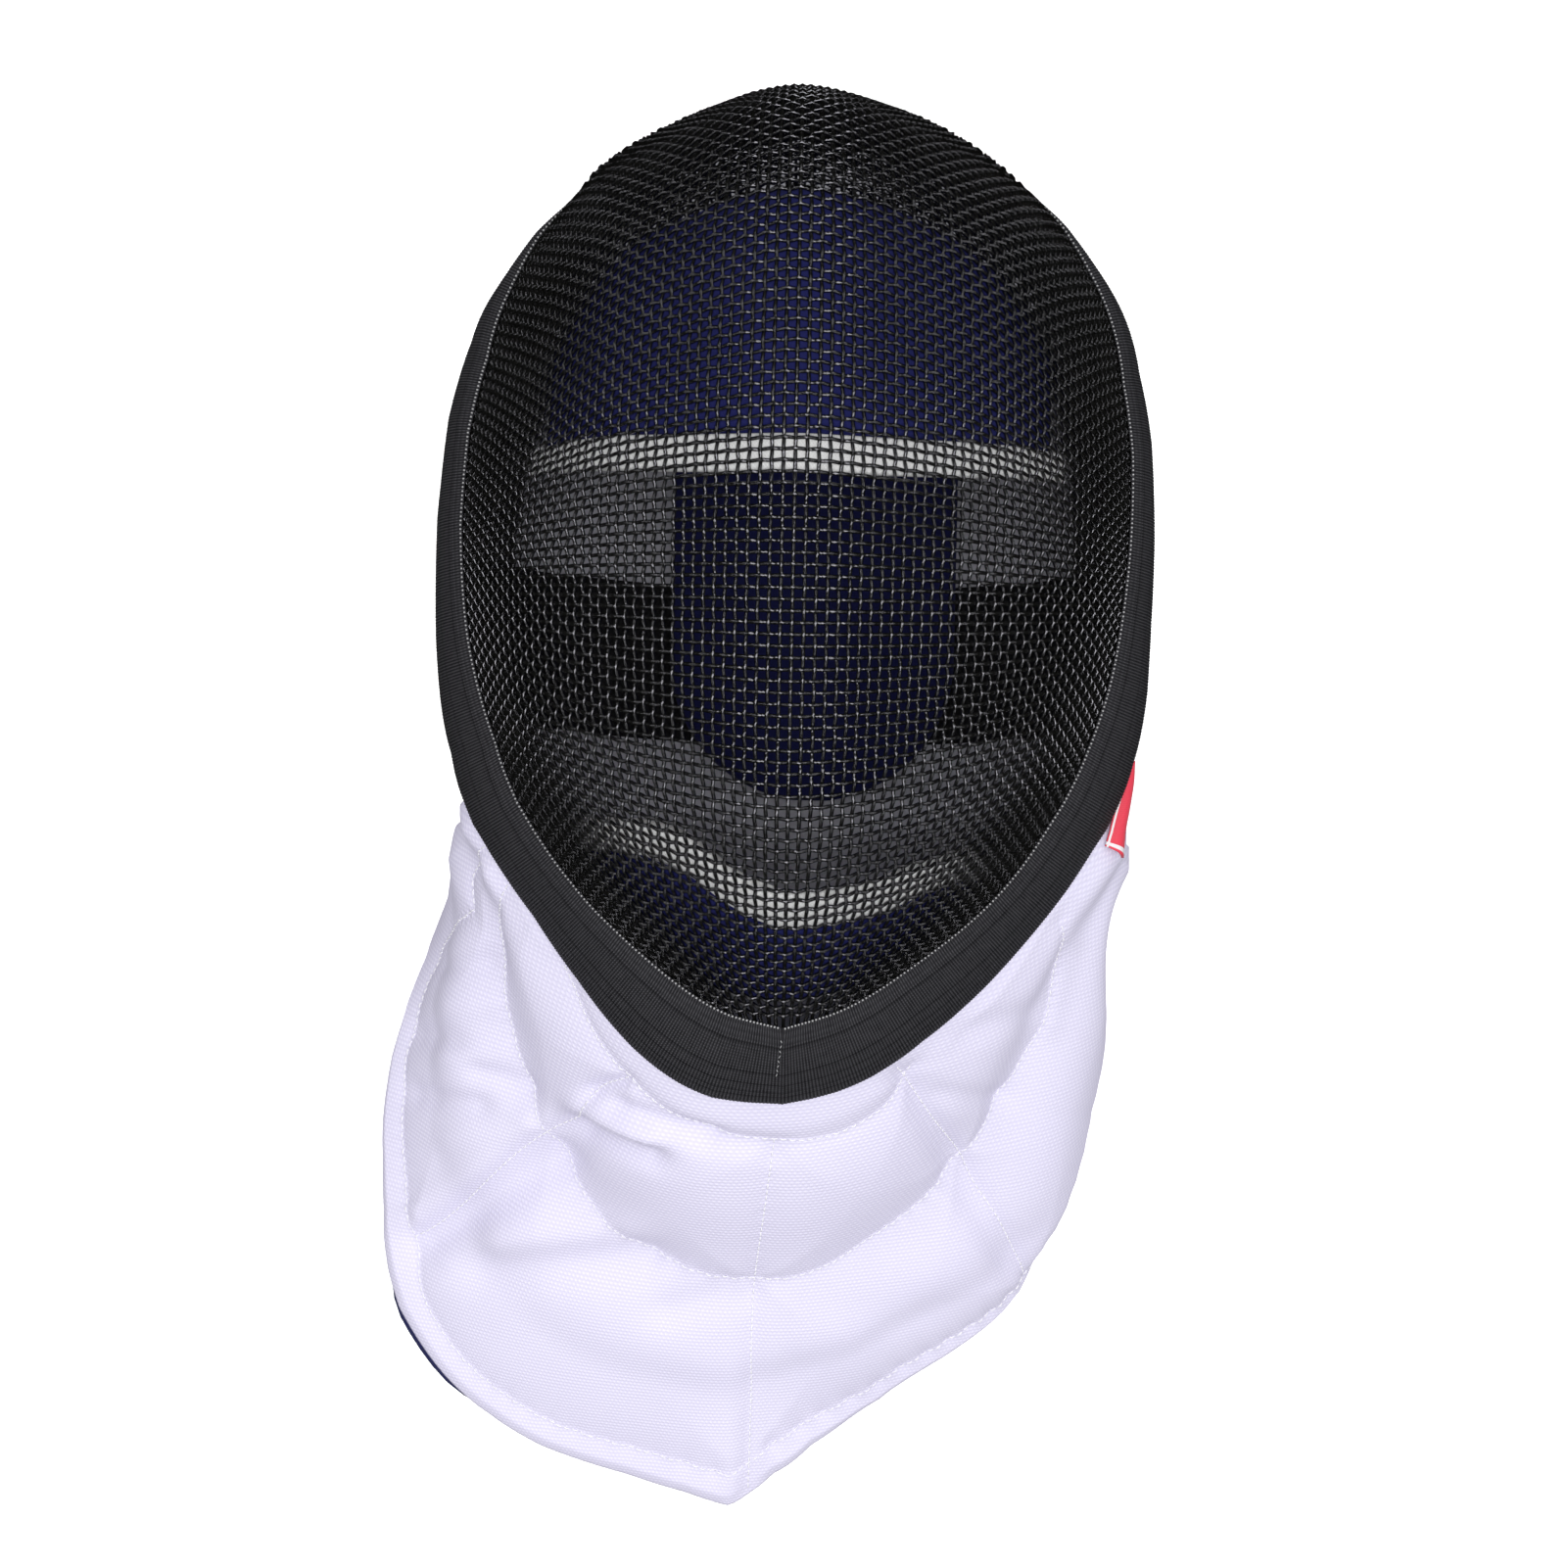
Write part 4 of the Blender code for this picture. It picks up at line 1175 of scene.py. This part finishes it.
# ================================================================ elastic trim and rear rim
def trim_loop(step):
    """Stations right round the mask, even in length along the middle of the trim, and their lengths."""
    unrolled = np.linspace(0.0, 2.0 * CHIN, 2 * LOOP_SAMPLES - 1)
    length = lengths_along(np.array([band_point(*rolled(value), 0.5) for value in unrolled]))
    count = int(round(length[-1] / step / 4.0)) * 4
    at = np.arange(count) * length[-1] / count
    return [rolled(value) for value in np.interp(at, length, unrolled)], at


def trim_rows(position, side, along, height, edge_height):
    """Points across the elastic; along runs from 0 at its inner edge to 1 at its outer one.

    The inner edge bends over onto the mesh: there its height is taken from the mesh itself.
    """
    start = trim_start(position)
    _, across, normal = band_frame(position, side)
    bent = start / TRIM_START[0]
    over = unit(face_normal(position, side) * (1.0 - bent) + normal * bent)
    inward = np.cross(over, np.cross(across, over))
    wrap = np.clip(1.0 - along / TRIM_WRAP, 0.0, 1.0)
    wrap = (wrap * wrap * (3.0 - 2.0 * wrap))[:, None]
    surface = band_points(position, side, start + (1.0 - start) * along)
    raised = normal * height[:, None] * (1.0 - wrap)
    return surface + raised + (over * edge_height - unit(inward) * TRIM_LAP * (1.0 - bent)) * wrap


def make_trim(elastic, thread):
    places, at = trim_loop(RIB_PITCH / 4.0)
    edge = np.minimum(TRIM_ROWS + TRIM_ROWS[1], 1.0 - TRIM_ROWS)
    full = np.sqrt(np.clip(edge / TRIM_ROUNDING, 0.0, 1.0))
    inner = WIRE_LAYER / 2.0 + CLEARANCE
    thick = TRIM_THICK * (TRIM_EDGE_SHARE + (1.0 - TRIM_EDGE_SHARE) * full)
    flat = np.full(len(TRIM_UNDERSIDE), inner)
    rows = []
    for index, place in enumerate(places):
        rib = RIB_HEIGHT * math.sin(index * math.pi / 2.0)
        outer = trim_rows(*place, TRIM_ROWS, inner + thick + rib, TRIM_EDGE + TRIM_EDGE_THICK + rib)
        outer[-1] += band_frame(*place)[1] / TRIM_WIDTH * rib
        rows.append(np.vstack([outer, trim_rows(*place, TRIM_UNDERSIDE, flat, TRIM_EDGE)]))
    grid = np.array(rows)
    across = np.concatenate([TRIM_ROWS, TRIM_UNDERSIDE]) * TRIM_WIDTH
    faces = grid_faces(*grid.shape[:2], loop=True, ring=True)
    piece = add_object("edge_trim_elastic", grid.reshape(-1, 3), faces, elastic)
    add_uv(piece, plane_map(at, across))
    finish_piece(piece, "trim", "edge_trim")
    make_beads(grid[::BEAD_STEP, 0], thread)
    make_chin_join(thread)


def plane_map(rows, columns):
    """Map of a grid from one number for each row and one for each column."""
    return np.stack(np.broadcast_arrays(rows[:, None], columns[None, :]), axis=-1)


def ball(centre, axes, radii):
    """A small faceted ellipsoid, for a stitch seen end on."""
    rings = []
    for height, reach in ((-0.8, 0.6), (0.0, 1.0), (0.8, 0.6)):
        turns = np.arange(6) * math.pi / 3.0
        ring = (
            centre
            + axes[0] * radii[0] * height
            + axes[1] * (radii[1] * reach * np.cos(turns))[:, None]
            + axes[2] * (radii[2] * reach * np.sin(turns))[:, None]
        )
        rings.append(ring)
    return np.vstack(rings), closed_faces(3, 6)


def make_beads(points, thread):
    """The row of loops along the trim's inner edge."""
    along = unit(np.roll(points, -1, axis=0) - np.roll(points, 1, axis=0))
    beads = []
    for point, axis in zip(points, along):
        flat = unit(np.cross(axis, (0.0, 0.0, 1.0)))
        beads.append(ball(point, (axis, flat, np.cross(axis, flat)), BEAD_SIZE))
    add_joined("edge_trim_loops", beads, thread, "trim")


def make_chin_join(thread):
    """Short stitches where the two ends of the elastic are joined at the chin."""
    stitches = []
    lift = WIRE_LAYER / 2.0 + CLEARANCE + TRIM_THICK + JOIN_LIFT
    for index, share in enumerate(JOIN_SHARES):
        position = JOIN_PLACE - JOIN_SLANT * share
        _, across, normal = band_frame(position, -1.0)
        axis = unit(across / TRIM_WIDTH + np.array([JOIN_LEAN * (-1.0) ** index, 0.0, 0.0]))
        centre = band_point(position, -1.0, share, lift)
        stitches.append(ball(centre, (axis, np.cross(axis, normal), normal), JOIN_SIZE))
    add_joined("edge_trim_join", stitches, thread, "trim")


def make_rim(elastic):
    turns = np.arange(RIM_SIDES) * 2.0 * math.pi / RIM_SIDES
    rows = []
    for index, place in enumerate(wall_loop(RIM_STEP)):
        foot = wall_foot(*place)
        radius = RIM_RADIUS * (1.0 - RIM_RIB + RIM_RIB * math.cos(index * math.pi / 2.0))
        ring = outward_normal(*place) * np.cos(turns)[:, None] - DOWN * np.sin(turns)[:, None]
        rows.append(np.array([foot[0], foot[1], RIM_RADIUS]) + radius * ring)
    grid = np.array(rows)
    uv = plane_map(lengths_along(grid[:, 0]), turns * RIM_RADIUS)
    finish_piece(closed_object("rear_rim_binding", grid, elastic, uv), "trim", "rear_rim")


# ================================================================ bib
def bib_stations():
    reach = CHIN - CHEEK - BIB_JOINT
    return np.linspace(-reach, reach, BIB_COLUMNS_COUNT)


def bib_levels():
    return np.linspace(0.0, 3.0, BIB_ROWS_COUNT)


class BibSurface:
    """The bib's outer surface as a grid, and places on it by station and level."""

    def __init__(self, grid, normals):
        self.stations = bib_stations()
        self.levels = bib_levels()
        self.grid = grid
        self.normals = normals

    def at(self, station, level):
        column = np.interp(station, self.stations, np.arange(len(self.stations)))
        row = np.interp(level, self.levels, np.arange(len(self.levels))) + len(BIB_TUCK)
        return self.mix(self.grid, column, row), unit(self.mix(self.normals, column, row))

    @staticmethod
    def mix(field, column, row):
        left = min(int(column), field.shape[0] - 2)
        low = min(int(row), field.shape[1] - 2)
        right_share = column - left
        high_share = row - low
        near = field[left, low] * (1.0 - high_share) + field[left, low + 1] * high_share
        far = field[left + 1, low] * (1.0 - high_share) + field[left + 1, low + 1] * high_share
        return near * (1.0 - right_share) + far * right_share


def seam_line(points, count):
    """Smooth line through a seam's points, as (station, level)."""
    table = np.array(points)
    keys = np.arange(len(table), dtype=float)
    return np.array([smooth(keys, table, key) for key in np.linspace(0.0, keys[-1], count)])


def base_bib():
    grid = np.array([bib_profile(station, bib_levels()) for station in bib_stations()])
    lower = grid[:, len(BIB_TUCK) :]
    share = np.clip(bib_levels() / WARP_FROM, 0.0, 1.0)[None, :, None]
    grid[:, len(BIB_TUCK) :] += (warp(lower, BIB_MIDDLE, BIB_REACH, BIB_WARP) - lower) * share
    return BibSurface(grid, grid_normals(grid, grid - BIB_CORE))


def seam_distance(surface):
    """Distance from each point of the bib to the nearest seam."""
    samples = []
    for seam in SEAMS.values():
        samples += [surface.at(*place)[0] for place in seam_line(seam, SEAM_SAMPLES)]
    samples = np.array(samples)
    points = surface.grid.reshape(-1, 3)
    nearest = np.full(len(points), np.inf)
    for start in range(0, len(samples), SEAM_CHUNK):
        apart = points[:, None, :] - samples[None, start : start + SEAM_CHUNK, :]
        nearest = np.minimum(nearest, np.sqrt((apart**2).sum(axis=-1)).min(axis=1))
    return nearest.reshape(surface.grid.shape[:2])


def fold_height(plan):
    """Height that the cloth's folds add at each place in plan."""
    height = np.zeros(plan.shape[:2])
    for row in FOLDS:
        fold = dict(zip(FOLD_COLUMNS, row))
        start = np.array([fold["from_x"], fold["from_y"]])
        end = np.array([fold["to_x"], fold["to_y"]])
        length = np.linalg.norm(end - start)
        along = (end - start) / length
        place = (plan - start) @ along
        beyond = np.maximum(np.maximum(-place, place - length), 0.0)
        aside = (plan - start) @ np.array([-along[1], along[0]])
        width = fold["width"]
        ends = np.exp(-((beyond / (FOLD_ENDS * width)) ** 2))
        height += fold["height"] * np.exp(-((aside / width) ** 2)) * ends
    return height


def quilted_bib():
    """The bib with its quilting swollen between the seams and its folds laid in."""
    surface = base_bib()
    away = seam_distance(surface)
    swell = PUFF_HEIGHT * (1.0 - np.exp(-((away / PUFF_WIDTH) ** PUFF_CREASE)))
    groove = -SEAM_DEPTH * np.exp(-((away / SEAM_WIDTH) ** 2))
    folds = fold_height(surface.grid[:, :, :2])
    tuck = len(BIB_TUCK)
    levels = bib_levels()
    fade = np.concatenate([np.zeros(tuck), np.clip(levels / QUILT_TOP, 0.0, 1.0)])
    hem = np.concatenate([np.ones(tuck), np.clip((3.0 - levels) / QUILT_HEM, 0.0, 1.0)])
    shift = (swell * hem[None, :] + groove + folds) * fade[None, :]
    stations = bib_stations()
    ends = np.clip((stations[-1] - np.abs(stations)) / QUILT_ENDS, 0.0, 1.0)
    grid = surface.grid + surface.normals * (shift * ends[:, None])[:, :, None]
    grid = above_floor(grid, FLOOR_CLEARANCE)
    return BibSurface(grid, grid_normals(grid, grid - BIB_CORE))


def cloth_uv(grid):
    """Map of the bib's cloth: its plan, stretched outwards where the cloth falls."""
    plan = grid[..., :2]
    return plan - unit(plan - MASK_MIDDLE) * grid[..., 2:] * BIB_UNROLL


def bib_thickness():
    """Share of the full thickness at each row: the bib thins to its bound hem."""
    levels = bib_levels()
    lower = HEM_THICK + (1.0 - HEM_THICK) * np.clip((3.0 - levels) / HEM_TAPER, 0.0, 1.0)
    return np.concatenate([np.full(len(BIB_TUCK), TUCK_THICK), lower])


def make_bib(cloth, navy, thread):
    surface = quilted_bib()
    grid = surface.grid
    depth = BIB_THICK * bib_thickness()[None, :, None]
    inner = above_floor(grid - surface.normals * depth, FLOOR_CLEARANCE * 0.5)
    section = np.concatenate([grid, inner[:, ::-INNER_STEP]], axis=1)
    piece = closed_object("bib_quilted", section, cloth, cloth_uv(section))
    finish_piece(piece, "bib_fabric", "bib")
    make_bib_stitches(surface, thread)
    make_lining(grid, surface.normals, navy)


def above_floor(grid, height):
    """The grid with no point lower than this."""
    grid[:, :, 2] = np.maximum(grid[:, :, 2], height)
    return grid


def make_bib_stitches(surface, thread):
    """Thread lying in each quilted seam, one short capsule for each stitch."""
    stitches = []
    for seam in SEAMS.values():
        places = [surface.at(*place) for place in seam_line(seam, STITCH_SAMPLES)]
        points, normals = (np.array(part) for part in zip(*places))
        length = lengths_along(points)
        for start in np.arange(0.0, length[-1] - STITCH_LENGTH, STITCH_LENGTH + STITCH_GAP):
            at = start + STITCH_LENGTH * STITCH_PLACES
            facing = unit(interpolate(at, length, normals))
            path = interpolate(at, length, points) + facing * STITCH_LIFT[:, None]
            stitches.append(tube(path, facing, THREAD_RADIUS, 6))
    add_joined("bib_stitches", stitches, thread, "bib_fabric")


def make_lining(grid, normals, navy):
    """Navy lining inside the bib, which shows as a thin edge at the lower left hem."""
    depth = (BIB_THICK * bib_thickness() + CLEARANCE)[None, :, None]
    rows = slice(len(BIB_TUCK), None, 2)
    columns = slice(None, None, LINING_STEP)
    outer = (grid - normals * depth)[columns, rows]
    facing = normals[columns, rows]
    place, reach = LINING_SHOWS_AT
    show = np.exp(-(((bib_stations()[columns] - place) / reach) ** 4))[:, None]
    away = unit(facing[:, -1] * np.array([1.0, 1.0, 0.0]))
    outer[:, -1] += (grid[columns, -1] + away * LINING_SHOWS - outer[:, -1]) * show
    outer = above_floor(outer, FLOOR_CLEARANCE)
    inner = above_floor(outer - facing * LINING_THICK, FLOOR_CLEARANCE * 0.5)
    section = np.concatenate([outer, inner[:, ::-1]], axis=1)
    piece = closed_object("bib_lining_cloth", section, navy)
    finish_piece(piece, "navy_fabric", "bib_lining")


# ================================================================ pads, bands and tongue
def cushion(name, front, thickness, edge, material, slot, node):
    """Crowned closed form behind a grid of points, thinner towards its edges."""
    normals = grid_normals(front, front - np.array([0.0, PIVOT_Y, PIVOT_Z]))
    count_down, count_along = front.shape[:2]
    down = np.linspace(0.0, 1.0, count_down) * lengths_along(front[:, count_along // 2])[-1]
    along = np.linspace(0.0, 1.0, count_along) * lengths_along(front[count_down // 2])[-1]
    near = np.minimum(np.minimum(down, down[-1] - down)[:, None], np.minimum(along, along[-1] - along))
    full = np.sqrt(np.clip(1.0 - (1.0 - np.clip(near / edge, 0.0, 1.0)) ** 2, 0.0, 1.0))[:, :, None]
    outer = front - normals * thickness * CUSHION_CROWN * (1.0 - full)
    inner = front - normals * thickness * (CUSHION_EDGE + (1.0 - CUSHION_EDGE) * full)
    flat = plane_map(down, along)[:, :, ::-1]
    section = np.concatenate([outer, inner[:, ::-1]], axis=1)
    piece = closed_object(name, section, material, np.concatenate([flat, flat[:, ::-1]], axis=1))
    finish_piece(piece, slot, node)


def pad_joint():
    """Angle of the gap between a pad and its band, degrees."""
    return math.degrees(CLEARANCE / FACE["ridge_radius"].max())


def make_forehead(navy, white):
    joint = pad_joint()
    rows = []
    for share in spaced(0.0, 1.0, 60):
        row = []
        for x in spaced(-FOREHEAD_HALF, FOREHEAD_HALF, 90):
            low = brow_edge(x) - joint
            row.append(face_at(low + (forehead_top(x) - low) * share, x, PAD_DEPTH))
        rows.append(row)
    cushion("forehead_cushion", np.array(rows), PAD_THICK, 0.010, navy, "navy_fabric", "forehead_pad")
    rows = []
    for share in spaced(1.0, 0.0, 16):
        places = spaced(-BROW_HALF, BROW_HALF, 120)
        rows.append([face_at(brow_edge(x) + brow_height(x) * share, x, PAD_DEPTH) for x in places])
    cushion("brow_binding", np.array(rows), BAND_THICK, 0.004, white, "white_binding", "brow_band")


def make_chin(navy, white):
    joint = pad_joint()
    places = spaced(-CHIN_HALF, CHIN_HALF, 100)
    rows = []
    for height in spaced(CHIN_BAND_HEIGHT, 0.0, 14):
        rows.append([face_at(chin_edge(x) + height, x, PAD_DEPTH) for x in places])
    cushion("chin_binding", np.array(rows), BAND_THICK, 0.003, white, "white_binding", "chin_band")
    rows = []
    for share in spaced(1.0, 0.0, 40):
        row = []
        for x in places:
            low = chin_edge(x) + CHIN_BAND_HEIGHT + joint
            narrow = 1.0 - share * (1.0 - CHIN_PAD_TAPER)
            row.append(face_at(low + (CHIN_PAD_END - low) * share, x * narrow, PAD_DEPTH))
        rows.append(row)
    cushion("chin_cushion", np.array(rows), PAD_THICK, 0.008, navy, "navy_fabric", "chin_pad")


def tongue_root(x):
    """Where the tongue meets the inside of the back wall, above the rear rim."""
    side = math.copysign(1.0, x)
    depth = WIRE_LAYER / 2.0 + CLEARANCE
    positions = np.linspace(0.0, TONGUE_REACH, 17)
    wall = [wall_point(position, side, TONGUE_ROOT_SHARE, depth) for position in positions]
    return float(np.interp(abs(x), [abs(point[0]) for point in wall], [point[1] for point in wall]))


def make_tongue(navy):
    half = TONGUE_WIDTH / 2.0
    straight_end = TONGUE_TIP_Y + half
    places = [(share, half) for share in spaced(0.0, 1.0, 44)]
    for turn in spaced(0.0, TONGUE_END_TURN, 26)[1:]:
        share = 1.0 + half * math.sin(turn) / (TONGUE_ROOT_Y - straight_end)
        places.append((share, half * math.cos(turn)))
    last = places[-1][0]
    across = np.array(spaced(-1.0, 1.0, 44))
    roots = [tongue_root(TONGUE_X + half * value) - TONGUE_ROOT_Y for value in across]
    rows = []
    for share, reach in places:
        z = TONGUE_ROOT_Z + TONGUE_THICK / 2.0 + TONGUE_ARCH * math.sin(math.pi * share / last)
        row = []
        for value, root in zip(across, roots):
            curve = root * max(1.0 - 2.0 * share, 0.0)
            y = TONGUE_ROOT_Y + curve + (straight_end - TONGUE_ROOT_Y) * share
            row.append([TONGUE_X + reach * value, y, z])
        rows.append(row)
    cushion("tongue_cushion", np.array(rows), TONGUE_THICK, 0.009, navy, "navy_fabric", "tongue")


# ================================================================ strap and tab
def wall_ys():
    return np.array([wall_foot(float(position), 1.0)[1] for position in range(int(CHEEK) + 1)])


def strap_profile(y, side, heights):
    """Half of the strap seen from the chin: up the inside of the wall from the middle."""
    position = np.interp(-y, -heights, STATION_NUMBERS[: len(heights)])
    seat = RIM_RADIUS + CLEARANCE + STRAP_THICK / 2.0
    foot = wall_point(position, side, 1.0, seat)
    points = [np.array([foot[0] * share, y, STRAP_Z]) for share in spaced(0.0, STRAP_FLAT, 17)]
    bend = np.array([abs(foot[0]) - STRAP_CORNER, y, STRAP_Z + STRAP_CORNER])
    for turn in spaced(0.0, math.pi / 2.0, 12):
        reach = bend[0] + STRAP_CORNER * math.sin(turn)
        points.append(np.array([side * reach, y, bend[2] - STRAP_CORNER * math.cos(turn)]))
    height = band_point(position, side, 1.0)[2] - WALL_FOOT
    touch = WIRE_LAYER / 2.0 + CLEARANCE + STRAP_THICK / 2.0
    for z in spaced(points[-1][2], STRAP_TOP_Z, 12)[1:]:
        share = 1.0 - (z - WALL_FOOT) / height
        lean = touch + (seat - touch) * max(0.0, 1.0 - (z - STRAP_CORNER) / STRAP_LEAN)
        wall = wall_point(position, side, share, lean)
        points.append(np.array([wall[0], y, z]))
    return points


def make_strap(material):
    heights = wall_ys()
    rows = []
    for edge in spaced(-0.5, 0.5, 28):
        row = []
        for side in (-1.0, 1.0):
            half = strap_profile(STRAP_END_Y + STRAP_WIDTH * edge, side, heights)
            if side < 0.0:
                half = half[:0:-1]
            row.extend(half)
        widest = max(abs(point[0]) for point in row)
        for point in row:
            dip = 1.0 - min(abs(point[0]) / widest, 1.0) ** 2
            point[1] += (STRAP_MIDDLE_Y - STRAP_END_Y) * dip
        rows.append(row)
    grid = np.array(rows)
    core = np.array([0.0, STRAP_END_Y, STRAP_Z + STRAP_CORNER * 3.0])
    normals = grid_normals(grid, core - grid)
    share = np.abs(np.linspace(-1.0, 1.0, len(rows)))
    full = np.sqrt(np.clip((1.0 - share) / STRAP_ROUNDING, 0.0, 1.0))
    half = STRAP_THICK / 2.0 * (STRAP_EDGE + (1.0 - STRAP_EDGE) * full)
    ribs = 1.0 + STRAP_RIB * np.cos(np.arange(len(rows)) * math.pi)
    thick = (half * ribs)[:, None, None]
    section = np.concatenate([grid + normals * thick, (grid - normals * thick)[::-1]], axis=0)
    along = lengths_along(grid[len(rows) // 2])
    wide = np.linspace(0.0, STRAP_WIDTH, len(rows))
    faces = grid_faces(*section.shape[:2], loop=True)
    piece = add_object("rear_strap_webbing", section.reshape(-1, 3), faces, material)
    add_uv(piece, plane_map(np.concatenate([wide, wide[::-1]]), along)[:, :, ::-1])
    finish_piece(piece, "strap_elastic", "rear_strap")


def make_tab(material):
    keys = np.arange(len(TAB_EDGES), dtype=float)
    bow = np.array([TAB_BOW, 0.0, TAB_BOW])
    rows = []
    for key in spaced(0.0, keys[-1], 48):
        tuck = TAB_TUCK * min(1.0, max(0.0, TAB_FREE - key)) + TAB_SEAM
        shares = np.array([-tuck] + spaced(0.0, 1.0, 16))[:, None]
        edges = smooth(keys, np.array(TAB_EDGES), key)
        row = edges[:3] + (edges[3:] - edges[:3]) * shares + bow * np.sin(np.pi * shares)
        rows.append(row)
    grid = np.array(rows)
    half = grid_normals(grid, TAB_FACING) * TAB_HALF
    section = np.concatenate([grid + half, (grid - half)[:, ::-1]], axis=1)
    across = np.array([lengths_along(row) for row in grid])
    across = across - across[:, 1:2]
    down = np.broadcast_to(lengths_along(grid[:, 8])[:, None], across.shape)
    uv = np.stack([across, down], axis=-1)
    uv = np.concatenate([uv, uv[:, ::-1]], axis=1)
    piece = closed_object("side_tab_ribbon", section, material, uv)
    finish_piece(piece, "tab_fabric", "side_tab")


# ================================================================ floor, light and camera
def flat_object(name, corners, height, material):
    """A flat stage piece from its outline in plan."""
    mesh = bpy.data.meshes.new(name)
    mesh.from_pydata([(x, y, height) for x, y in corners], [], [list(range(len(corners)))])
    mesh.materials.append(material)
    piece = bpy.data.objects.new(name, mesh)
    bpy.context.scene.collection.objects.link(piece)
    return piece


def make_stage():
    """Pale floor, and the grey card that the open back of the mask stands on: painted shade, a dark
    sheet where the floor inside the mask lies only in shade.
    """
    corners = [(-1.0, -1.0), (1.0, -1.0), (1.0, 1.0), (-1.0, 1.0)]
    corners = [(x * FLOOR_REACH, y * FLOOR_REACH) for x, y in corners]
    white = new_material("floor_white", (0.95, 0.95, 0.95), 0.9, Specular_IOR_Level=0.0)
    floor = flat_object("floor", corners, 0.0, white)
    # painted shade: a grey card stands in for the floor's shade inside the mask; its outline follows
    # the trim as seen from the camera, so from there it shows only through the mesh
    grey = new_material("card_painted_shade", (0.41, 0.41, 0.45), 0.95, Specular_IOR_Level=0.0)
    outline = []
    for place in trim_loop(SHADE_CARD_STEP)[0]:
        edges = out_of_true(band_points(*place, [0.0, 1.0]) - outward_normal(*place) * SHADE_CARD_INSET)
        seen = edges[:, :2] * (CAMERA_HEIGHT / (CAMERA_HEIGHT - edges[:, 2:]))
        widest = int(np.argmax(np.linalg.norm(seen - MASK_MIDDLE, axis=1)))
        outline.append((seen[widest] + SHIFT[:2]).tolist())
    shade_card = flat_object("shade_card", outline, SHADE_CARD_HEIGHT, grey)
    floor.visible_glossy = False
    floor.visible_diffuse = False
    return floor


def make_lights(floor):
    world = bpy.data.worlds.new("studio")
    world.use_nodes = True
    background = world.node_tree.nodes["Background"]
    background.inputs["Color"].default_value = (1.0, 1.0, 1.0, 1.0)
    background.inputs["Strength"].default_value = FILL
    world.cycles_visibility.glossy = False
    bpy.context.scene.world = world
    for index, width in enumerate(STRIP_WIDTHS):
        turn = 2.0 * math.pi * index / len(STRIP_WIDTHS)
        place = (STRIP_DISTANCE * math.cos(turn), STRIP_DISTANCE * math.sin(turn), STRIP_HEIGHT)
        power = width * STRIP_LENGTH * STRIP_POWER
        aim_softbox(f"strip_{index}", place, (width, STRIP_LENGTH), power)
    aim_softbox("overhead", *OVERHEAD)
    backdrop = aim_softbox("backdrop", *BACKDROP)
    lit = bpy.data.collections.new("backdrop_only")
    lit.objects.link(floor)
    backdrop.light_linking.receiver_collection = lit
    backdrop.light_linking.blocker_collection = lit


def aim_softbox(name, place, size, power):
    """A rectangular light that points at the mask."""
    light = bpy.data.lights.new(name, "AREA")
    light.shape = "RECTANGLE"
    light.size, light.size_y = size
    light.energy = power
    lamp = bpy.data.objects.new(name, light)
    lamp.location = place
    lamp.rotation_mode = "QUATERNION"
    lamp.rotation_quaternion = lamp.location.to_track_quat("Z", "Y")
    bpy.context.scene.collection.objects.link(lamp)
    return lamp


def make_camera():
    data = bpy.data.cameras.new("camera")
    data.sensor_width = SENSOR
    data.lens = FOCAL_PIXELS / IMAGE_SIDE * SENSOR
    camera = bpy.data.objects.new("camera", data)
    camera.location = (CAMERA_X, CAMERA_Y, CAMERA_HEIGHT)
    camera.rotation_euler = (0.0, 0.0, CAMERA_ROLL)
    bpy.context.scene.collection.objects.link(camera)
    bpy.context.scene.camera = camera


def main():
    make_camera()
    make_lights(make_stage())
    bpy.context.scene.view_settings.view_transform = "Standard"
    enamel = wire_material()
    elastic = elastic_material()
    navy = fleece_material("navy_padding", (0.011, 0.013, 0.082), (0.020, 0.024, 0.132))
    white = binding_material()
    make_face_wires(enamel)
    make_back_wires(enamel)
    make_trim(elastic, thread_material("edge_thread", (0.50, 0.50, 0.51)))
    make_rim(elastic)
    make_bib(bib_material(), navy, thread_material("bib_thread", (0.93, 0.92, 0.98)))
    make_forehead(navy, white)
    make_chin(navy, white)
    # the tongue's padding is a darker copy of the navy padding: painted shade, for the shade it lies in
    # deep inside the mask
    make_tongue(fleece_material("tongue_padding_painted_shade", (0.005, 0.006, 0.038), (0.010, 0.012, 0.066)))
    make_strap(strap_material())
    make_tab(tab_material())


main()
